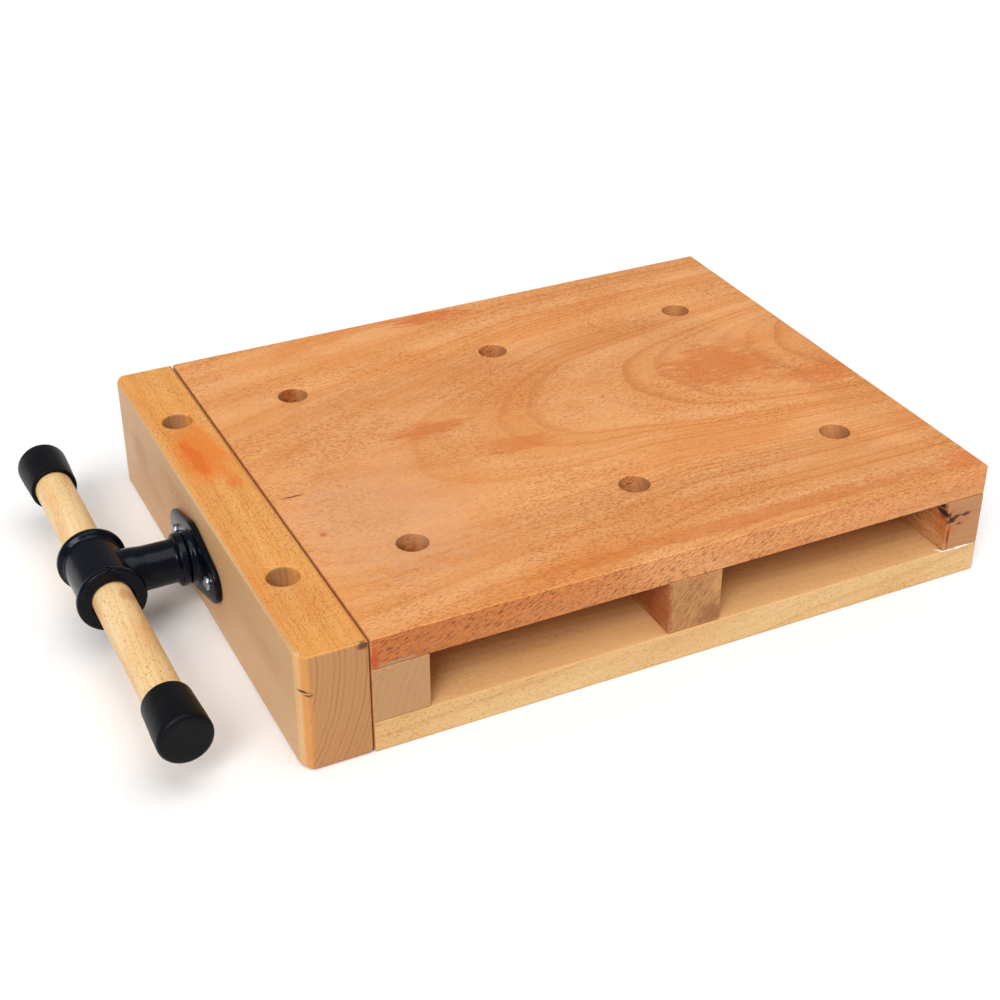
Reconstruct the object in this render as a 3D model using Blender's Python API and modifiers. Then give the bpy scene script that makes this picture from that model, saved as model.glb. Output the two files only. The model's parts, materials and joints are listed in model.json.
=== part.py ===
"""Portable bench-top vise board: a hollow beech box with dog holes and a screw-driven jaw.

Frame: metres, +Z up. The origin is the centre of the bottom board's underside. +X runs
from the jaw along the box, and +Y from the open front to the back.
"""

import math

import bmesh
import bpy
from mathutils import Vector

# Driving dimensions of the wooden box
BODY_LENGTH = 0.410
BODY_WIDTH = 0.350
BOARD_THICKNESS = 0.020
BAY_HEIGHT = 0.036
LEFT_SPACER_WIDTH = 0.034
MIDDLE_SPACER_WIDTH = 0.035
MIDDLE_SPACER_FROM_LEFT = 0.185
RIGHT_SPACER_WIDTH = 0.026
BOARD_EASE = 0.0008
SPACER_EASE = 0.0005

# Dog holes: three columns along the box and one more in the jaw, in two rows
DOG_HOLE_RADIUS = 0.0095
DOG_COLUMNS_FROM_LEFT = (0.058, 0.204, 0.350)
DOG_ROW_OFFSET = 0.098

# Moving jaw
JAW_THICKNESS = 0.040
JAW_GAP = 0.001
JAW_LIFT = 0.0005
JAW_CORNER_RADIUS = 0.014
JAW_CORNER_SWEEP = math.radians(52)
JAW_EDGE_ROUND = 0.0016
JAW_LOWER_ROUND = 0.0045
JAW_DOG_FROM_INNER_FACE = 0.0195

# Running gear
CONTACT_GAP = 0.0003
JOURNAL_CLEARANCE = 0.0006
FLANGE_BORE_CLEARANCE = 0.0004
BAR_CLEARANCE = 0.0004
THREAD_CLEARANCE = 0.00035
PASSAGE_CLEARANCE = 0.001
SCREW_RADIUS = 0.010
JOURNAL_RADIUS = 0.008
SCREW_END_FROM_LEFT = 0.182
ROD_RADIUS = 0.007
ROD_OFFSET = 0.060
ROD_END_FROM_LEFT = 0.345
ROD_SOCKET_DEPTH = 0.030
COUNTERBORE_RADIUS = 0.015
COUNTERBORE_DEPTH = 0.008
WASHER_THICKNESS = 0.0025
BUSH_RADIUS = 0.009
BUSH_RIM_RADIUS = 0.012
BUSH_RIM_THICKNESS = 0.002
NUT_BARREL_RADIUS = 0.015
NUT_BARREL_DEPTH = 0.024
NUT_PLATE_WIDTH = 0.060
NUT_PLATE_HEIGHT = 0.034
NUT_PLATE_THICKNESS = 0.006
NUT_COLLAR_LENGTH = 0.004
NUT_SCREW_OFFSET = 0.0225
NUT_SCREW_LENGTH = 0.022

# Flange on the jaw's outer face
FLANGE_THICKNESS = 0.004
FLANGE_CENTRE_RADIUS = 0.0225
FLANGE_END_RADIUS = 0.0135
FLANGE_SCREW_OFFSET = 0.0315
FLANGE_SCREW_LENGTH = 0.026
FLANGE_EASE = 0.0008
FLANGE_BOSS_RADIUS = 0.0165
FLANGE_BOSS_TAPER = 0.001
FLANGE_BOSS_LENGTH = 0.0045

# Cast hub and its handle
HUB_REACH = 0.060
HUB_LENGTH = 0.050
HUB_RIM_RADIUS = 0.0210
HUB_WAIST_RADIUS = 0.0185
HUB_RIM_WIDTH = 0.005
HUB_BRIDGE = 0.005
STEM_RADIUS = 0.0135
STEM_SWELL = 0.001
STEM_COLLAR_RADIUS = 0.0165
STEM_COLLAR_LENGTH = 0.006
BAR_RADIUS = 0.012
BAR_EASE = 0.001
HANDLE_LENGTH = 0.314
HANDLE_REST_OFFSET = -0.009
CAP_LENGTH = 0.035
CAP_MOUTH_RADIUS = 0.0148
CAP_RADIUS = 0.0160
CAP_END_THICKNESS = 0.004

# Small fasteners
PIN_RADIUS = 0.002
ROD_PIN_RECESS = 0.003
ROD_PIN_OVERRUN = 0.006
HUB_PIN_RECESS = 0.001
HUB_PIN_OVERRUN = 0.002
HUB_PIN_SHIFT = 0.004
GRUB_RADIUS = 0.0019
GRUB_PROUD = 0.0007
WOOD_SCREW_RADIUS = 0.0022
WOOD_SCREW_HEAD_RADIUS = 0.0044
BOARD_SCREW_LENGTH = 0.045
BOARD_SCREW_ROW_OFFSET = 0.142
PAN_HEAD_HEIGHT = 0.0026
RECESS_REACH = 0.0022
RECESS_DEPTH = 0.0012
RECESS_HALF_SLOT = 0.0004

# How far a cutter runs past the face it opens
CUT_MARGIN = 0.010

# Facets around a round piece
FINE_SIDES = 32
HUB_SIDES = 36
PLAIN_SIDES = 20
SMALL_SIDES = 12
ARC_STEPS = 6

# Derived planes
BODY_HEIGHT = 2 * BOARD_THICKNESS + BAY_HEIGHT
AXIS_Z = BODY_HEIGHT / 2
LEFT_END = -BODY_LENGTH / 2
RIGHT_END = BODY_LENGTH / 2
SPACER_LOW = BOARD_THICKNESS + CONTACT_GAP
SPACER_HIGH = BOARD_THICKNESS + BAY_HEIGHT - CONTACT_GAP
LEFT_SPACER_INNER = LEFT_END + LEFT_SPACER_WIDTH
MIDDLE_SPACER_LEFT = LEFT_END + MIDDLE_SPACER_FROM_LEFT
MIDDLE_SPACER_RIGHT = MIDDLE_SPACER_LEFT + MIDDLE_SPACER_WIDTH
JAW_INNER = LEFT_END - JAW_GAP
JAW_OUTER = JAW_INNER - JAW_THICKNESS
JAW_DOG_X = JAW_INNER - JAW_DOG_FROM_INNER_FACE
FLANGE_BACK = JAW_OUTER - CONTACT_GAP
FLANGE_FRONT = FLANGE_BACK - FLANGE_THICKNESS
BOSS_FRONT = FLANGE_FRONT - FLANGE_BOSS_LENGTH
HUB_X = JAW_OUTER - HUB_REACH
STEM_END = BOSS_FRONT - CONTACT_GAP
COUNTERBORE_FLOOR = JAW_INNER - COUNTERBORE_DEPTH
WASHER_LEFT = COUNTERBORE_FLOOR + CONTACT_GAP
SHOULDER_X = WASHER_LEFT + WASHER_THICKNESS + CONTACT_GAP
SOCKET_FLOOR = HUB_X + BAR_RADIUS + HUB_BRIDGE

X_AXIS = Vector((1, 0, 0))
Y_AXIS = Vector((0, 1, 0))
Z_AXIS = Vector((0, 0, 1))

FINISHES = {
    "oiled_beech": ((0.72, 0.36, 0.14), 0.45, 0.0),
    "pale_beech": ((0.78, 0.52, 0.27), 0.55, 0.0),
    "grey_beech": ((0.55, 0.36, 0.22), 0.70, 0.0),
    "turned_beech": ((0.80, 0.50, 0.22), 0.45, 0.0),
    "black_casting": ((0.012, 0.012, 0.015), 0.25, 0.0),
    "black_rubber": ((0.010, 0.010, 0.012), 0.55, 0.0),
    "zinc_steel": ((0.68, 0.70, 0.72), 0.30, 1.0),
    "bright_steel": ((0.60, 0.60, 0.61), 0.25, 1.0),
    "bronze": ((0.55, 0.38, 0.18), 0.35, 1.0),
}


def clear_scene():
    for old in list(bpy.data.objects):
        bpy.data.objects.remove(old, do_unlink=True)


def new_collection(name):
    group = bpy.data.collections.new(name)
    bpy.context.scene.collection.children.link(group)
    return group


clear_scene()
PARTS = new_collection("bench_vise_board")
CUTTERS = new_collection("bench_vise_board_cutters")


# ---------------------------------------------------------------- shared helpers

def world_place(thing):
    """World position of an object whose parents are only translated."""
    place = Vector((0, 0, 0))
    while thing is not None:
        place += thing.location
        thing = thing.parent
    return place


def pivot(name, place, parent=None):
    """An empty on a joint's axis, which carries the pieces of one moving body."""
    empty = bpy.data.objects.new(name, None)
    empty.empty_display_size = 0.02
    empty.parent = parent
    empty.location = Vector(place) - world_place(parent)
    PARTS.objects.link(empty)
    return empty


def finish(part, kind):
    """Give a part its own Principled material."""
    colour, roughness, metallic = FINISHES[kind]
    material = bpy.data.materials.new(part.name + "_" + kind)
    material.use_nodes = True
    shader = material.node_tree.nodes["Principled BSDF"]
    shader.inputs["Base Color"].default_value = (*colour, 1.0)
    shader.inputs["Roughness"].default_value = roughness
    shader.inputs["Metallic"].default_value = metallic
    part.data.materials.clear()
    part.data.materials.append(material)


def make_part(shape, kind, carrier=None):
    """Put a finished shape among the parts and hang it on its body's pivot."""
    PARTS.objects.link(shape)
    shape.location -= world_place(carrier)
    shape.parent = carrier
    finish(shape, kind)
    return shape


def make_cutter(shape):
    CUTTERS.objects.link(shape)
    shape.hide_render = True
    shape.display_type = "WIRE"
    return shape


def turn_to(shape, direction):
    """Point a shape's own Z axis along a direction."""
    shape.rotation_euler = Z_AXIS.rotation_difference(Vector(direction)).to_euler()


def smooth_round(mesh):
    mesh.shade_smooth()
    mesh.set_sharp_from_angle(angle=math.radians(35))


def bevel(part, width, segments=2):
    """Round every sharp edge of a part."""
    modifier = part.modifiers.new("eased_edges", "BEVEL")
    modifier.width = width
    modifier.segments = segments
    modifier.limit_method = "ANGLE"
    modifier.angle_limit = math.radians(40)
    modifier.loop_slide = False


def combine(part, other, operation):
    modifier = part.modifiers.new(operation.lower() + "_" + other.name, "BOOLEAN")
    modifier.operation = operation
    modifier.solver = "EXACT"
    modifier.object = other


def cut(part, *cutters):
    for cutter in cutters:
        combine(part, cutter, "DIFFERENCE")


def weld(part):
    """Merge the sliver edges that a long chain of cuts can leave."""
    modifier = part.modifiers.new("weld", "WELD")
    modifier.merge_threshold = 0.00002


def box(name, low, high):
    """A box between two corners, with its origin at its centre."""
    low, high = Vector(low), Vector(high)
    builder = bmesh.new()
    bmesh.ops.create_cube(builder, size=1.0)
    bmesh.ops.scale(builder, vec=high - low, verts=builder.verts)
    mesh = bpy.data.meshes.new(name)
    builder.to_mesh(mesh)
    builder.free()
    shape = bpy.data.objects.new(name, mesh)
    shape.location = (low + high) / 2
    return shape


def rod(name, start, end, radius, sides=PLAIN_SIDES, end_radius=None):
    """A cylinder, or a cone when end_radius is given, between two points."""
    start, end = Vector(start), Vector(end)
    builder = bmesh.new()
    bmesh.ops.create_cone(
        builder,
        cap_ends=True,
        segments=sides,
        radius1=radius,
        radius2=radius if end_radius is None else end_radius,
        depth=(end - start).length,
    )
    mesh = bpy.data.meshes.new(name)
    builder.to_mesh(mesh)
    builder.free()
    smooth_round(mesh)
    shape = bpy.data.objects.new(name, mesh)
    shape.location = (start + end) / 2
    turn_to(shape, end - start)
    return shape


def turned(name, profile, place, direction, sides=PLAIN_SIDES, closed=False):
    """A turned shape. The profile is (radius, height) pairs, outer side from top to bottom."""
    mesh = bpy.data.meshes.new(name)
    builder = bmesh.new()
    points = [builder.verts.new((radius, 0, height)) for radius, height in profile]
    following = points[1:] + points[:1] if closed else points[1:]
    for first, second in zip(points, following):
        builder.edges.new((first, second))
    builder.to_mesh(mesh)
    builder.free()
    shape = bpy.data.objects.new(name, mesh)
    shape.location = place
    turn_to(shape, direction)
    screw = shape.modifiers.new("turning", "SCREW")
    screw.axis = "Z"
    screw.angle = math.tau
    screw.steps = sides
    screw.render_steps = sides
    screw.use_merge_vertices = True
    screw.merge_threshold = 0.00001
    screw.use_smooth_shade = False
    return shape


def slab(name, outline, thickness, place, direction):
    """A flat plate: a closed outline extruded along a direction, made into a mesh."""
    curve = bpy.data.curves.new(name, "CURVE")
    curve.dimensions = "2D"
    curve.fill_mode = "BOTH"
    curve.extrude = thickness / 2
    spline = curve.splines.new("POLY")
    spline.points.add(len(outline) - 1)
    for point, (u, v) in zip(spline.points, outline):
        point.co = (u, v, 0, 1)
    spline.use_cyclic_u = True
    drawn = bpy.data.objects.new(name + "_outline", curve)
    drawn.location = place
    turn_to(drawn, direction)
    CUTTERS.objects.link(drawn)
    bpy.context.view_layer.update()
    evaluated = drawn.evaluated_get(bpy.context.evaluated_depsgraph_get())
    mesh = bpy.data.meshes.new_from_object(evaluated)
    builder = bmesh.new()
    builder.from_mesh(mesh)
    bmesh.ops.remove_doubles(builder, verts=builder.verts, dist=0.000001)
    bmesh.ops.recalc_face_normals(builder, faces=builder.faces)
    builder.to_mesh(mesh)
    builder.free()
    mesh.name = name
    shape = bpy.data.objects.new(name, mesh)
    shape.matrix_world = drawn.matrix_world
    bpy.data.objects.remove(drawn, do_unlink=True)
    return shape


def arc(centre, radius, start_angle, end_angle, steps=ARC_STEPS):
    """Points along an arc, both ends included."""
    turn = (end_angle - start_angle) / steps
    return [
        (
            centre[0] + radius * math.cos(start_angle + turn * step),
            centre[1] + radius * math.sin(start_angle + turn * step),
        )
        for step in range(steps + 1)
    ]


def cross_recess(name, place, direction):
    """Cutters for a cross-head screw's drive recess, open along a direction."""
    place, direction = Vector(place), Vector(direction)
    sizes = ((RECESS_REACH, RECESS_HALF_SLOT), (RECESS_HALF_SLOT, RECESS_REACH))
    arms = []
    for arm, size in zip("ab", sizes):
        low = Vector((-size[0], -size[1], -RECESS_DEPTH))
        high = Vector((size[0], size[1], RECESS_DEPTH))
        blade = make_cutter(box(name + "_" + arm, low, high))
        blade.location = place
        turn_to(blade, direction)
        arms.append(blade)
    return arms


# ---------------------------------------------------------------- wooden box

def dog_cutter(name, x, y, low, high):
    return make_cutter(rod(name, (x, y, low), (x, y, high), DOG_HOLE_RADIUS, FINE_SIDES))


def dog_holes(part, tag, columns, low, high):
    """Bore one dog hole for each column and row."""
    for column, x in enumerate(columns):
        for row, side in (("front", -1), ("rear", 1)):
            name = "dog_hole_{}_{}_{}".format(tag, column + 1, row)
            cut(part, dog_cutter(name, x, side * DOG_ROW_OFFSET, low, high))


def make_boards():
    half = Vector((BODY_LENGTH / 2, BODY_WIDTH / 2, 0))
    top_low = BODY_HEIGHT - BOARD_THICKNESS
    top = box("top_board", -half + Z_AXIS * top_low, half + Z_AXIS * BODY_HEIGHT)
    bevel(top, BOARD_EASE)
    make_part(top, "oiled_beech")
    columns = [LEFT_END + distance for distance in DOG_COLUMNS_FROM_LEFT]
    dog_holes(top, "top", columns, top_low - CUT_MARGIN, BODY_HEIGHT + CUT_MARGIN)

    bottom = box("bottom_board", -half, half + Z_AXIS * BOARD_THICKNESS)
    bevel(bottom, BOARD_EASE)
    make_part(bottom, "pale_beech")
    return bottom


def spacer(name, left, width):
    """A spacer block that runs from the front face to the back face."""
    low = (left, -BODY_WIDTH / 2, SPACER_LOW)
    high = (left + width, BODY_WIDTH / 2, SPACER_HIGH)
    block = box(name, low, high)
    bevel(block, SPACER_EASE, segments=1)
    return make_part(block, "grey_beech")


def make_spacers():
    left = spacer("left_spacer", LEFT_END, LEFT_SPACER_WIDTH)
    middle = spacer("middle_spacer", MIDDLE_SPACER_LEFT, MIDDLE_SPACER_WIDTH)
    right = spacer("right_spacer", RIGHT_END - RIGHT_SPACER_WIDTH, RIGHT_SPACER_WIDTH)
    return left, middle, right


def board_screw(name, x, y, pieces):
    """A countersunk screw driven up through the bottom board into a spacer."""
    head_height = 0.0028
    head_low = 0.0006
    tip_length = 0.008
    clearance = CONTACT_GAP
    profile = [
        (0, BOARD_SCREW_LENGTH),
        (WOOD_SCREW_RADIUS * 0.4, BOARD_SCREW_LENGTH - tip_length / 4),
        (WOOD_SCREW_RADIUS, BOARD_SCREW_LENGTH - tip_length),
        (WOOD_SCREW_RADIUS, head_low + head_height),
        (WOOD_SCREW_HEAD_RADIUS, head_low),
        (0, head_low),
    ]
    screw = make_part(turned(name, profile, (x, y, 0), Z_AXIS, SMALL_SIDES), "zinc_steel")
    cut(screw, *cross_recess(name + "_recess", (x, y, head_low), -Z_AXIS))
    outer = WOOD_SCREW_RADIUS + clearance
    head = WOOD_SCREW_HEAD_RADIUS + clearance
    tip = BOARD_SCREW_LENGTH + clearance
    hole = [
        (0, tip),
        (outer, tip),
        (outer, head_low + head_height + clearance),
        (head, head_low),
        (head, -CUT_MARGIN),
        (0, -CUT_MARGIN),
    ]
    cutter = make_cutter(turned(name + "_hole", hole, (x, y, 0), Z_AXIS, SMALL_SIDES))
    for piece in pieces:
        cut(piece, cutter)


def make_board_screws(bottom, left, middle, right):
    right_x = RIGHT_END - RIGHT_SPACER_WIDTH / 2
    middle_x = MIDDLE_SPACER_LEFT + MIDDLE_SPACER_WIDTH / 2
    left_x = LEFT_END + LEFT_SPACER_WIDTH / 2
    columns = (("left", left_x, left), ("middle", middle_x, middle), ("right", right_x, right))
    for tag, x, block in columns:
        for row, side in (("front", -1), ("rear", 1)):
            name = "board_screw_{}_{}".format(tag, row)
            board_screw(name, x, side * BOARD_SCREW_ROW_OFFSET, (bottom, block))


# ---------------------------------------------------------------- nut and bushes

def make_nut(left_spacer):
    """A cast nut: a barrel let into the left spacer, and a plate screwed to its inner face."""
    plate_left = LEFT_SPACER_INNER + CONTACT_GAP
    plate_right = plate_left + NUT_PLATE_THICKNESS
    half = Vector((0, NUT_PLATE_WIDTH / 2, NUT_PLATE_HEIGHT / 2))
    centre = Vector((0, 0, AXIS_Z))
    nut = box("screw_nut", centre - half + X_AXIS * plate_left, centre + half + X_AXIS * plate_right)
    bevel(nut, FLANGE_EASE)
    make_part(nut, "black_casting")
    barrel_left = LEFT_SPACER_INNER - NUT_BARREL_DEPTH
    barrel = rod(
        "nut_barrel",
        centre + X_AXIS * barrel_left,
        centre + X_AXIS * (plate_right + NUT_COLLAR_LENGTH),
        NUT_BARREL_RADIUS,
        FINE_SIDES,
    )
    combine(nut, make_cutter(barrel), "UNION")
    bore = rod(
        "nut_bore",
        centre + X_AXIS * (LEFT_END - CUT_MARGIN),
        centre + X_AXIS * (plate_right + 2 * CUT_MARGIN),
        SCREW_RADIUS + THREAD_CLEARANCE,
        FINE_SIDES,
    )
    cut(nut, make_cutter(bore))

    pocket = rod(
        "nut_pocket",
        centre + X_AXIS * (barrel_left - CONTACT_GAP),
        centre + X_AXIS * (LEFT_SPACER_INNER + CUT_MARGIN),
        NUT_BARREL_RADIUS + CONTACT_GAP,
        FINE_SIDES,
    )
    passage = rod(
        "screw_passage",
        centre + X_AXIS * (LEFT_END - CUT_MARGIN),
        centre + X_AXIS * (LEFT_SPACER_INNER + CUT_MARGIN),
        SCREW_RADIUS + PASSAGE_CLEARANCE,
        FINE_SIDES,
    )
    cut(left_spacer, make_cutter(pocket), make_cutter(passage))
    for row, side in (("front", -1), ("rear", 1)):
        place = Vector((plate_right, side * NUT_SCREW_OFFSET, AXIS_Z))
        pan_screw("nut_screw_" + row, place, X_AXIS, NUT_SCREW_LENGTH, (nut, left_spacer))


def pan_screw(name, place, outward, length, pieces, carrier=None):
    """A pan-head wood screw: head on a surface at place, shank running inwards."""
    place, outward = Vector(place), Vector(outward)
    profile = [
        (0, PAN_HEAD_HEIGHT),
        (WOOD_SCREW_HEAD_RADIUS * 0.6, PAN_HEAD_HEIGHT),
        (WOOD_SCREW_HEAD_RADIUS * 0.93, PAN_HEAD_HEIGHT * 0.6),
        (WOOD_SCREW_HEAD_RADIUS, CONTACT_GAP),
        (WOOD_SCREW_RADIUS, CONTACT_GAP),
        (WOOD_SCREW_RADIUS, -length * 0.8),
        (0, -length),
    ]
    screw = make_part(turned(name, profile, place, outward, SMALL_SIDES), "zinc_steel", carrier)
    cut(screw, *cross_recess(name + "_recess", place + outward * PAN_HEAD_HEIGHT, outward))
    hole = rod(
        name + "_hole",
        place + outward * (CUT_MARGIN / 2),
        place - outward * (length + CONTACT_GAP),
        WOOD_SCREW_RADIUS + CONTACT_GAP,
        SMALL_SIDES,
    )
    cutter = make_cutter(hole)
    for piece in pieces:
        cut(piece, cutter)


def rod_bush(name, block, left, right, y):
    """A rimmed sleeve let into a spacer, with its rim on the spacer's right-hand face."""
    inner = ROD_RADIUS + CONTACT_GAP
    rim_right = right + BUSH_RIM_THICKNESS
    length = rim_right - (left + CONTACT_GAP)
    rim = BUSH_RIM_THICKNESS - CONTACT_GAP
    profile = [
        (BUSH_RIM_RADIUS, length),
        (BUSH_RIM_RADIUS, length - rim),
        (BUSH_RADIUS, length - rim),
        (BUSH_RADIUS, 0),
        (inner, 0),
        (inner, length),
    ]
    place = (left + CONTACT_GAP, y, AXIS_Z)
    make_part(turned(name, profile, place, X_AXIS, PLAIN_SIDES, closed=True), "bronze")
    hole = rod(
        name + "_hole",
        (left - CUT_MARGIN, y, AXIS_Z),
        (right + CUT_MARGIN, y, AXIS_Z),
        BUSH_RADIUS + CONTACT_GAP,
        PLAIN_SIDES,
    )
    cut(block, make_cutter(hole))


def make_bushes(left_spacer, middle_spacer):
    for row, side in (("front", -1), ("rear", 1)):
        y = side * ROD_OFFSET
        rod_bush("left_bush_" + row, left_spacer, LEFT_END, LEFT_SPACER_INNER, y)
        rod_bush("middle_bush_" + row, middle_spacer, MIDDLE_SPACER_LEFT, MIDDLE_SPACER_RIGHT, y)


# ---------------------------------------------------------------- moving jaw

def jaw_outline():
    """Plan of the jaw: square inner corners, and outer corners rounded off to a crisp end edge."""
    half_width = BODY_WIDTH / 2
    half_thickness = JAW_THICKNESS / 2
    start = JAW_CORNER_RADIUS * math.sin(JAW_CORNER_SWEEP)
    centre_x = -half_thickness + JAW_CORNER_RADIUS
    centre_y = half_width - start
    rear = arc((centre_x, centre_y), JAW_CORNER_RADIUS, math.pi, math.pi - JAW_CORNER_SWEEP)
    front = [(x, -y) for x, y in reversed(rear)]
    inner = [(half_thickness, half_width), (half_thickness, -half_width)]
    return rear + inner + front


def round_lower_edge(mesh, inner_x, low_z):
    """Round the long lower edge of the jaw's inner face."""
    builder = bmesh.new()
    builder.from_mesh(mesh)
    tolerance = 0.00001
    edges = [
        edge
        for edge in builder.edges
        if all(abs(v.co.x - inner_x) < tolerance and abs(v.co.z - low_z) < tolerance for v in edge.verts)
    ]
    bmesh.ops.bevel(
        builder,
        geom=edges,
        offset=JAW_LOWER_ROUND,
        segments=4,
        profile=0.5,
        affect="EDGES",
    )
    builder.to_mesh(mesh)
    builder.free()


def make_jaw(carrier):
    middle_x = (JAW_INNER + JAW_OUTER) / 2
    height = BODY_HEIGHT - JAW_LIFT
    place = (middle_x, 0, JAW_LIFT + height / 2)
    jaw = slab("front_jaw", jaw_outline(), height, place, Z_AXIS)
    round_lower_edge(jaw.data, JAW_THICKNESS / 2, -height / 2)
    bevel(jaw, JAW_EDGE_ROUND)
    make_part(jaw, "oiled_beech", carrier)
    dog_holes(jaw, "jaw", [JAW_DOG_X], -CUT_MARGIN, BODY_HEIGHT + CUT_MARGIN)
    counterbore = rod(
        "jaw_counterbore",
        (COUNTERBORE_FLOOR, 0, AXIS_Z),
        (JAW_INNER + CUT_MARGIN, 0, AXIS_Z),
        COUNTERBORE_RADIUS,
        PLAIN_SIDES,
    )
    passage = rod(
        "journal_passage",
        (JAW_OUTER - CUT_MARGIN, 0, AXIS_Z),
        (JAW_INNER + CUT_MARGIN, 0, AXIS_Z),
        JOURNAL_RADIUS + JOURNAL_CLEARANCE,
        PLAIN_SIDES,
    )
    cut(jaw, make_cutter(counterbore), make_cutter(passage))
    for row, side in (("front", -1), ("rear", 1)):
        guide_rod(row, side * ROD_OFFSET, jaw, carrier)
    return jaw


def guide_rod(row, y, jaw, carrier):
    """A guide rod in a blind socket of the jaw, held by a cross pin from below."""
    left = JAW_INNER - ROD_SOCKET_DEPTH + CONTACT_GAP
    right = LEFT_END + ROD_END_FROM_LEFT
    chamfer = 0.0012
    profile = [
        (0, right - left),
        (ROD_RADIUS - chamfer, right - left),
        (ROD_RADIUS, right - left - chamfer),
        (ROD_RADIUS, 0),
        (0, 0),
    ]
    guide = turned("guide_rod_" + row, profile, (left, y, AXIS_Z), X_AXIS)
    make_part(guide, "bright_steel", carrier)
    socket = rod(
        "rod_socket_" + row,
        (JAW_INNER - ROD_SOCKET_DEPTH, y, AXIS_Z),
        (JAW_INNER + CUT_MARGIN, y, AXIS_Z),
        ROD_RADIUS + CONTACT_GAP,
    )
    pin_x = JAW_INNER - ROD_SOCKET_DEPTH * 0.6
    pin_low = JAW_LIFT + ROD_PIN_RECESS
    pin_high = AXIS_Z + ROD_RADIUS + ROD_PIN_OVERRUN
    pin = rod("rod_pin_" + row, (pin_x, y, pin_low), (pin_x, y, pin_high), PIN_RADIUS, SMALL_SIDES)
    make_part(pin, "bright_steel", carrier)
    pin_hole = rod(
        "rod_pin_hole_" + row,
        (pin_x, y, -CUT_MARGIN),
        (pin_x, y, pin_high + CONTACT_GAP),
        PIN_RADIUS + CONTACT_GAP,
        SMALL_SIDES,
    )
    cut(jaw, make_cutter(socket), make_cutter(pin_hole))
    cut(guide, pin_hole)


def flange_outline():
    """A two-bolt flange with its long axis along Y: three circles joined by tangent lines."""
    lean = math.asin((FLANGE_CENTRE_RADIUS - FLANGE_END_RADIUS) / FLANGE_SCREW_OFFSET)
    half = math.pi / 2
    centre = arc((0, 0), FLANGE_CENTRE_RADIUS, half - lean, half + lean, 4)
    left = arc((-FLANGE_SCREW_OFFSET, 0), FLANGE_END_RADIUS, half + lean, 3 * half - lean, 12)
    upper = centre + left[1:-1]
    around = upper + [(-u, -v) for u, v in upper]
    return [(v, u) for u, v in around]


def make_flange(jaw, carrier):
    middle_x = (FLANGE_BACK + FLANGE_FRONT) / 2
    plate = slab("flange_plate", flange_outline(), FLANGE_THICKNESS, (middle_x, 0, AXIS_Z), -X_AXIS)
    bevel(plate, FLANGE_EASE)
    make_part(plate, "black_casting", carrier)
    centre = Vector((0, 0, AXIS_Z))
    boss = rod(
        "flange_boss",
        centre + X_AXIS * (FLANGE_BACK - FLANGE_THICKNESS / 4),
        centre + X_AXIS * BOSS_FRONT,
        FLANGE_BOSS_RADIUS + FLANGE_BOSS_TAPER,
        FINE_SIDES,
        FLANGE_BOSS_RADIUS,
    )
    combine(plate, make_cutter(boss), "UNION")
    bore = rod(
        "flange_bore",
        centre + X_AXIS * (BOSS_FRONT - CUT_MARGIN),
        centre + X_AXIS * (FLANGE_BACK + CUT_MARGIN),
        JOURNAL_RADIUS + FLANGE_BORE_CLEARANCE,
        FINE_SIDES,
    )
    cut(plate, make_cutter(bore))
    for row, side in (("front", -1), ("rear", 1)):
        place = (FLANGE_FRONT, side * FLANGE_SCREW_OFFSET, AXIS_Z)
        pan_screw("flange_screw_" + row, place, -X_AXIS, FLANGE_SCREW_LENGTH, (plate, jaw), carrier)


# ---------------------------------------------------------------- screw and hub

def make_vise_screw(carrier):
    """The spindle: a journal that runs in the jaw, a shoulder, and the threaded length."""
    right = LEFT_END + SCREW_END_FROM_LEFT
    left = SOCKET_FLOOR + CONTACT_GAP
    chamfer = 0.002
    length = right - left
    shoulder = SHOULDER_X - left
    profile = [
        (0, length),
        (SCREW_RADIUS - chamfer, length),
        (SCREW_RADIUS, length - chamfer),
        (SCREW_RADIUS, shoulder),
        (JOURNAL_RADIUS, shoulder),
        (JOURNAL_RADIUS, 0),
        (0, 0),
    ]
    screw = turned("vise_screw", profile, (left, 0, AXIS_Z), X_AXIS, FINE_SIDES)
    make_part(screw, "bright_steel", carrier)

    inner = JOURNAL_RADIUS + CONTACT_GAP
    outer = COUNTERBORE_RADIUS - 0.001
    ring = [(outer, WASHER_THICKNESS), (outer, 0), (inner, 0), (inner, WASHER_THICKNESS)]
    washer = turned("thrust_washer", ring, (WASHER_LEFT, 0, AXIS_Z), X_AXIS, PLAIN_SIDES, closed=True)
    make_part(washer, "bronze", carrier)
    return screw


def hub_profile():
    """Half section of the cast bobbin, from its rear rim to its front rim."""
    half = HUB_LENGTH / 2
    ease = 0.0012
    slope = 0.002
    upper = [
        (0, half),
        (HUB_RIM_RADIUS - ease, half),
        (HUB_RIM_RADIUS, half - ease),
        (HUB_RIM_RADIUS, half - HUB_RIM_WIDTH + slope),
        (HUB_WAIST_RADIUS, half - HUB_RIM_WIDTH - slope),
    ]
    return upper + [(radius, -height) for radius, height in reversed(upper)]


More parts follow.
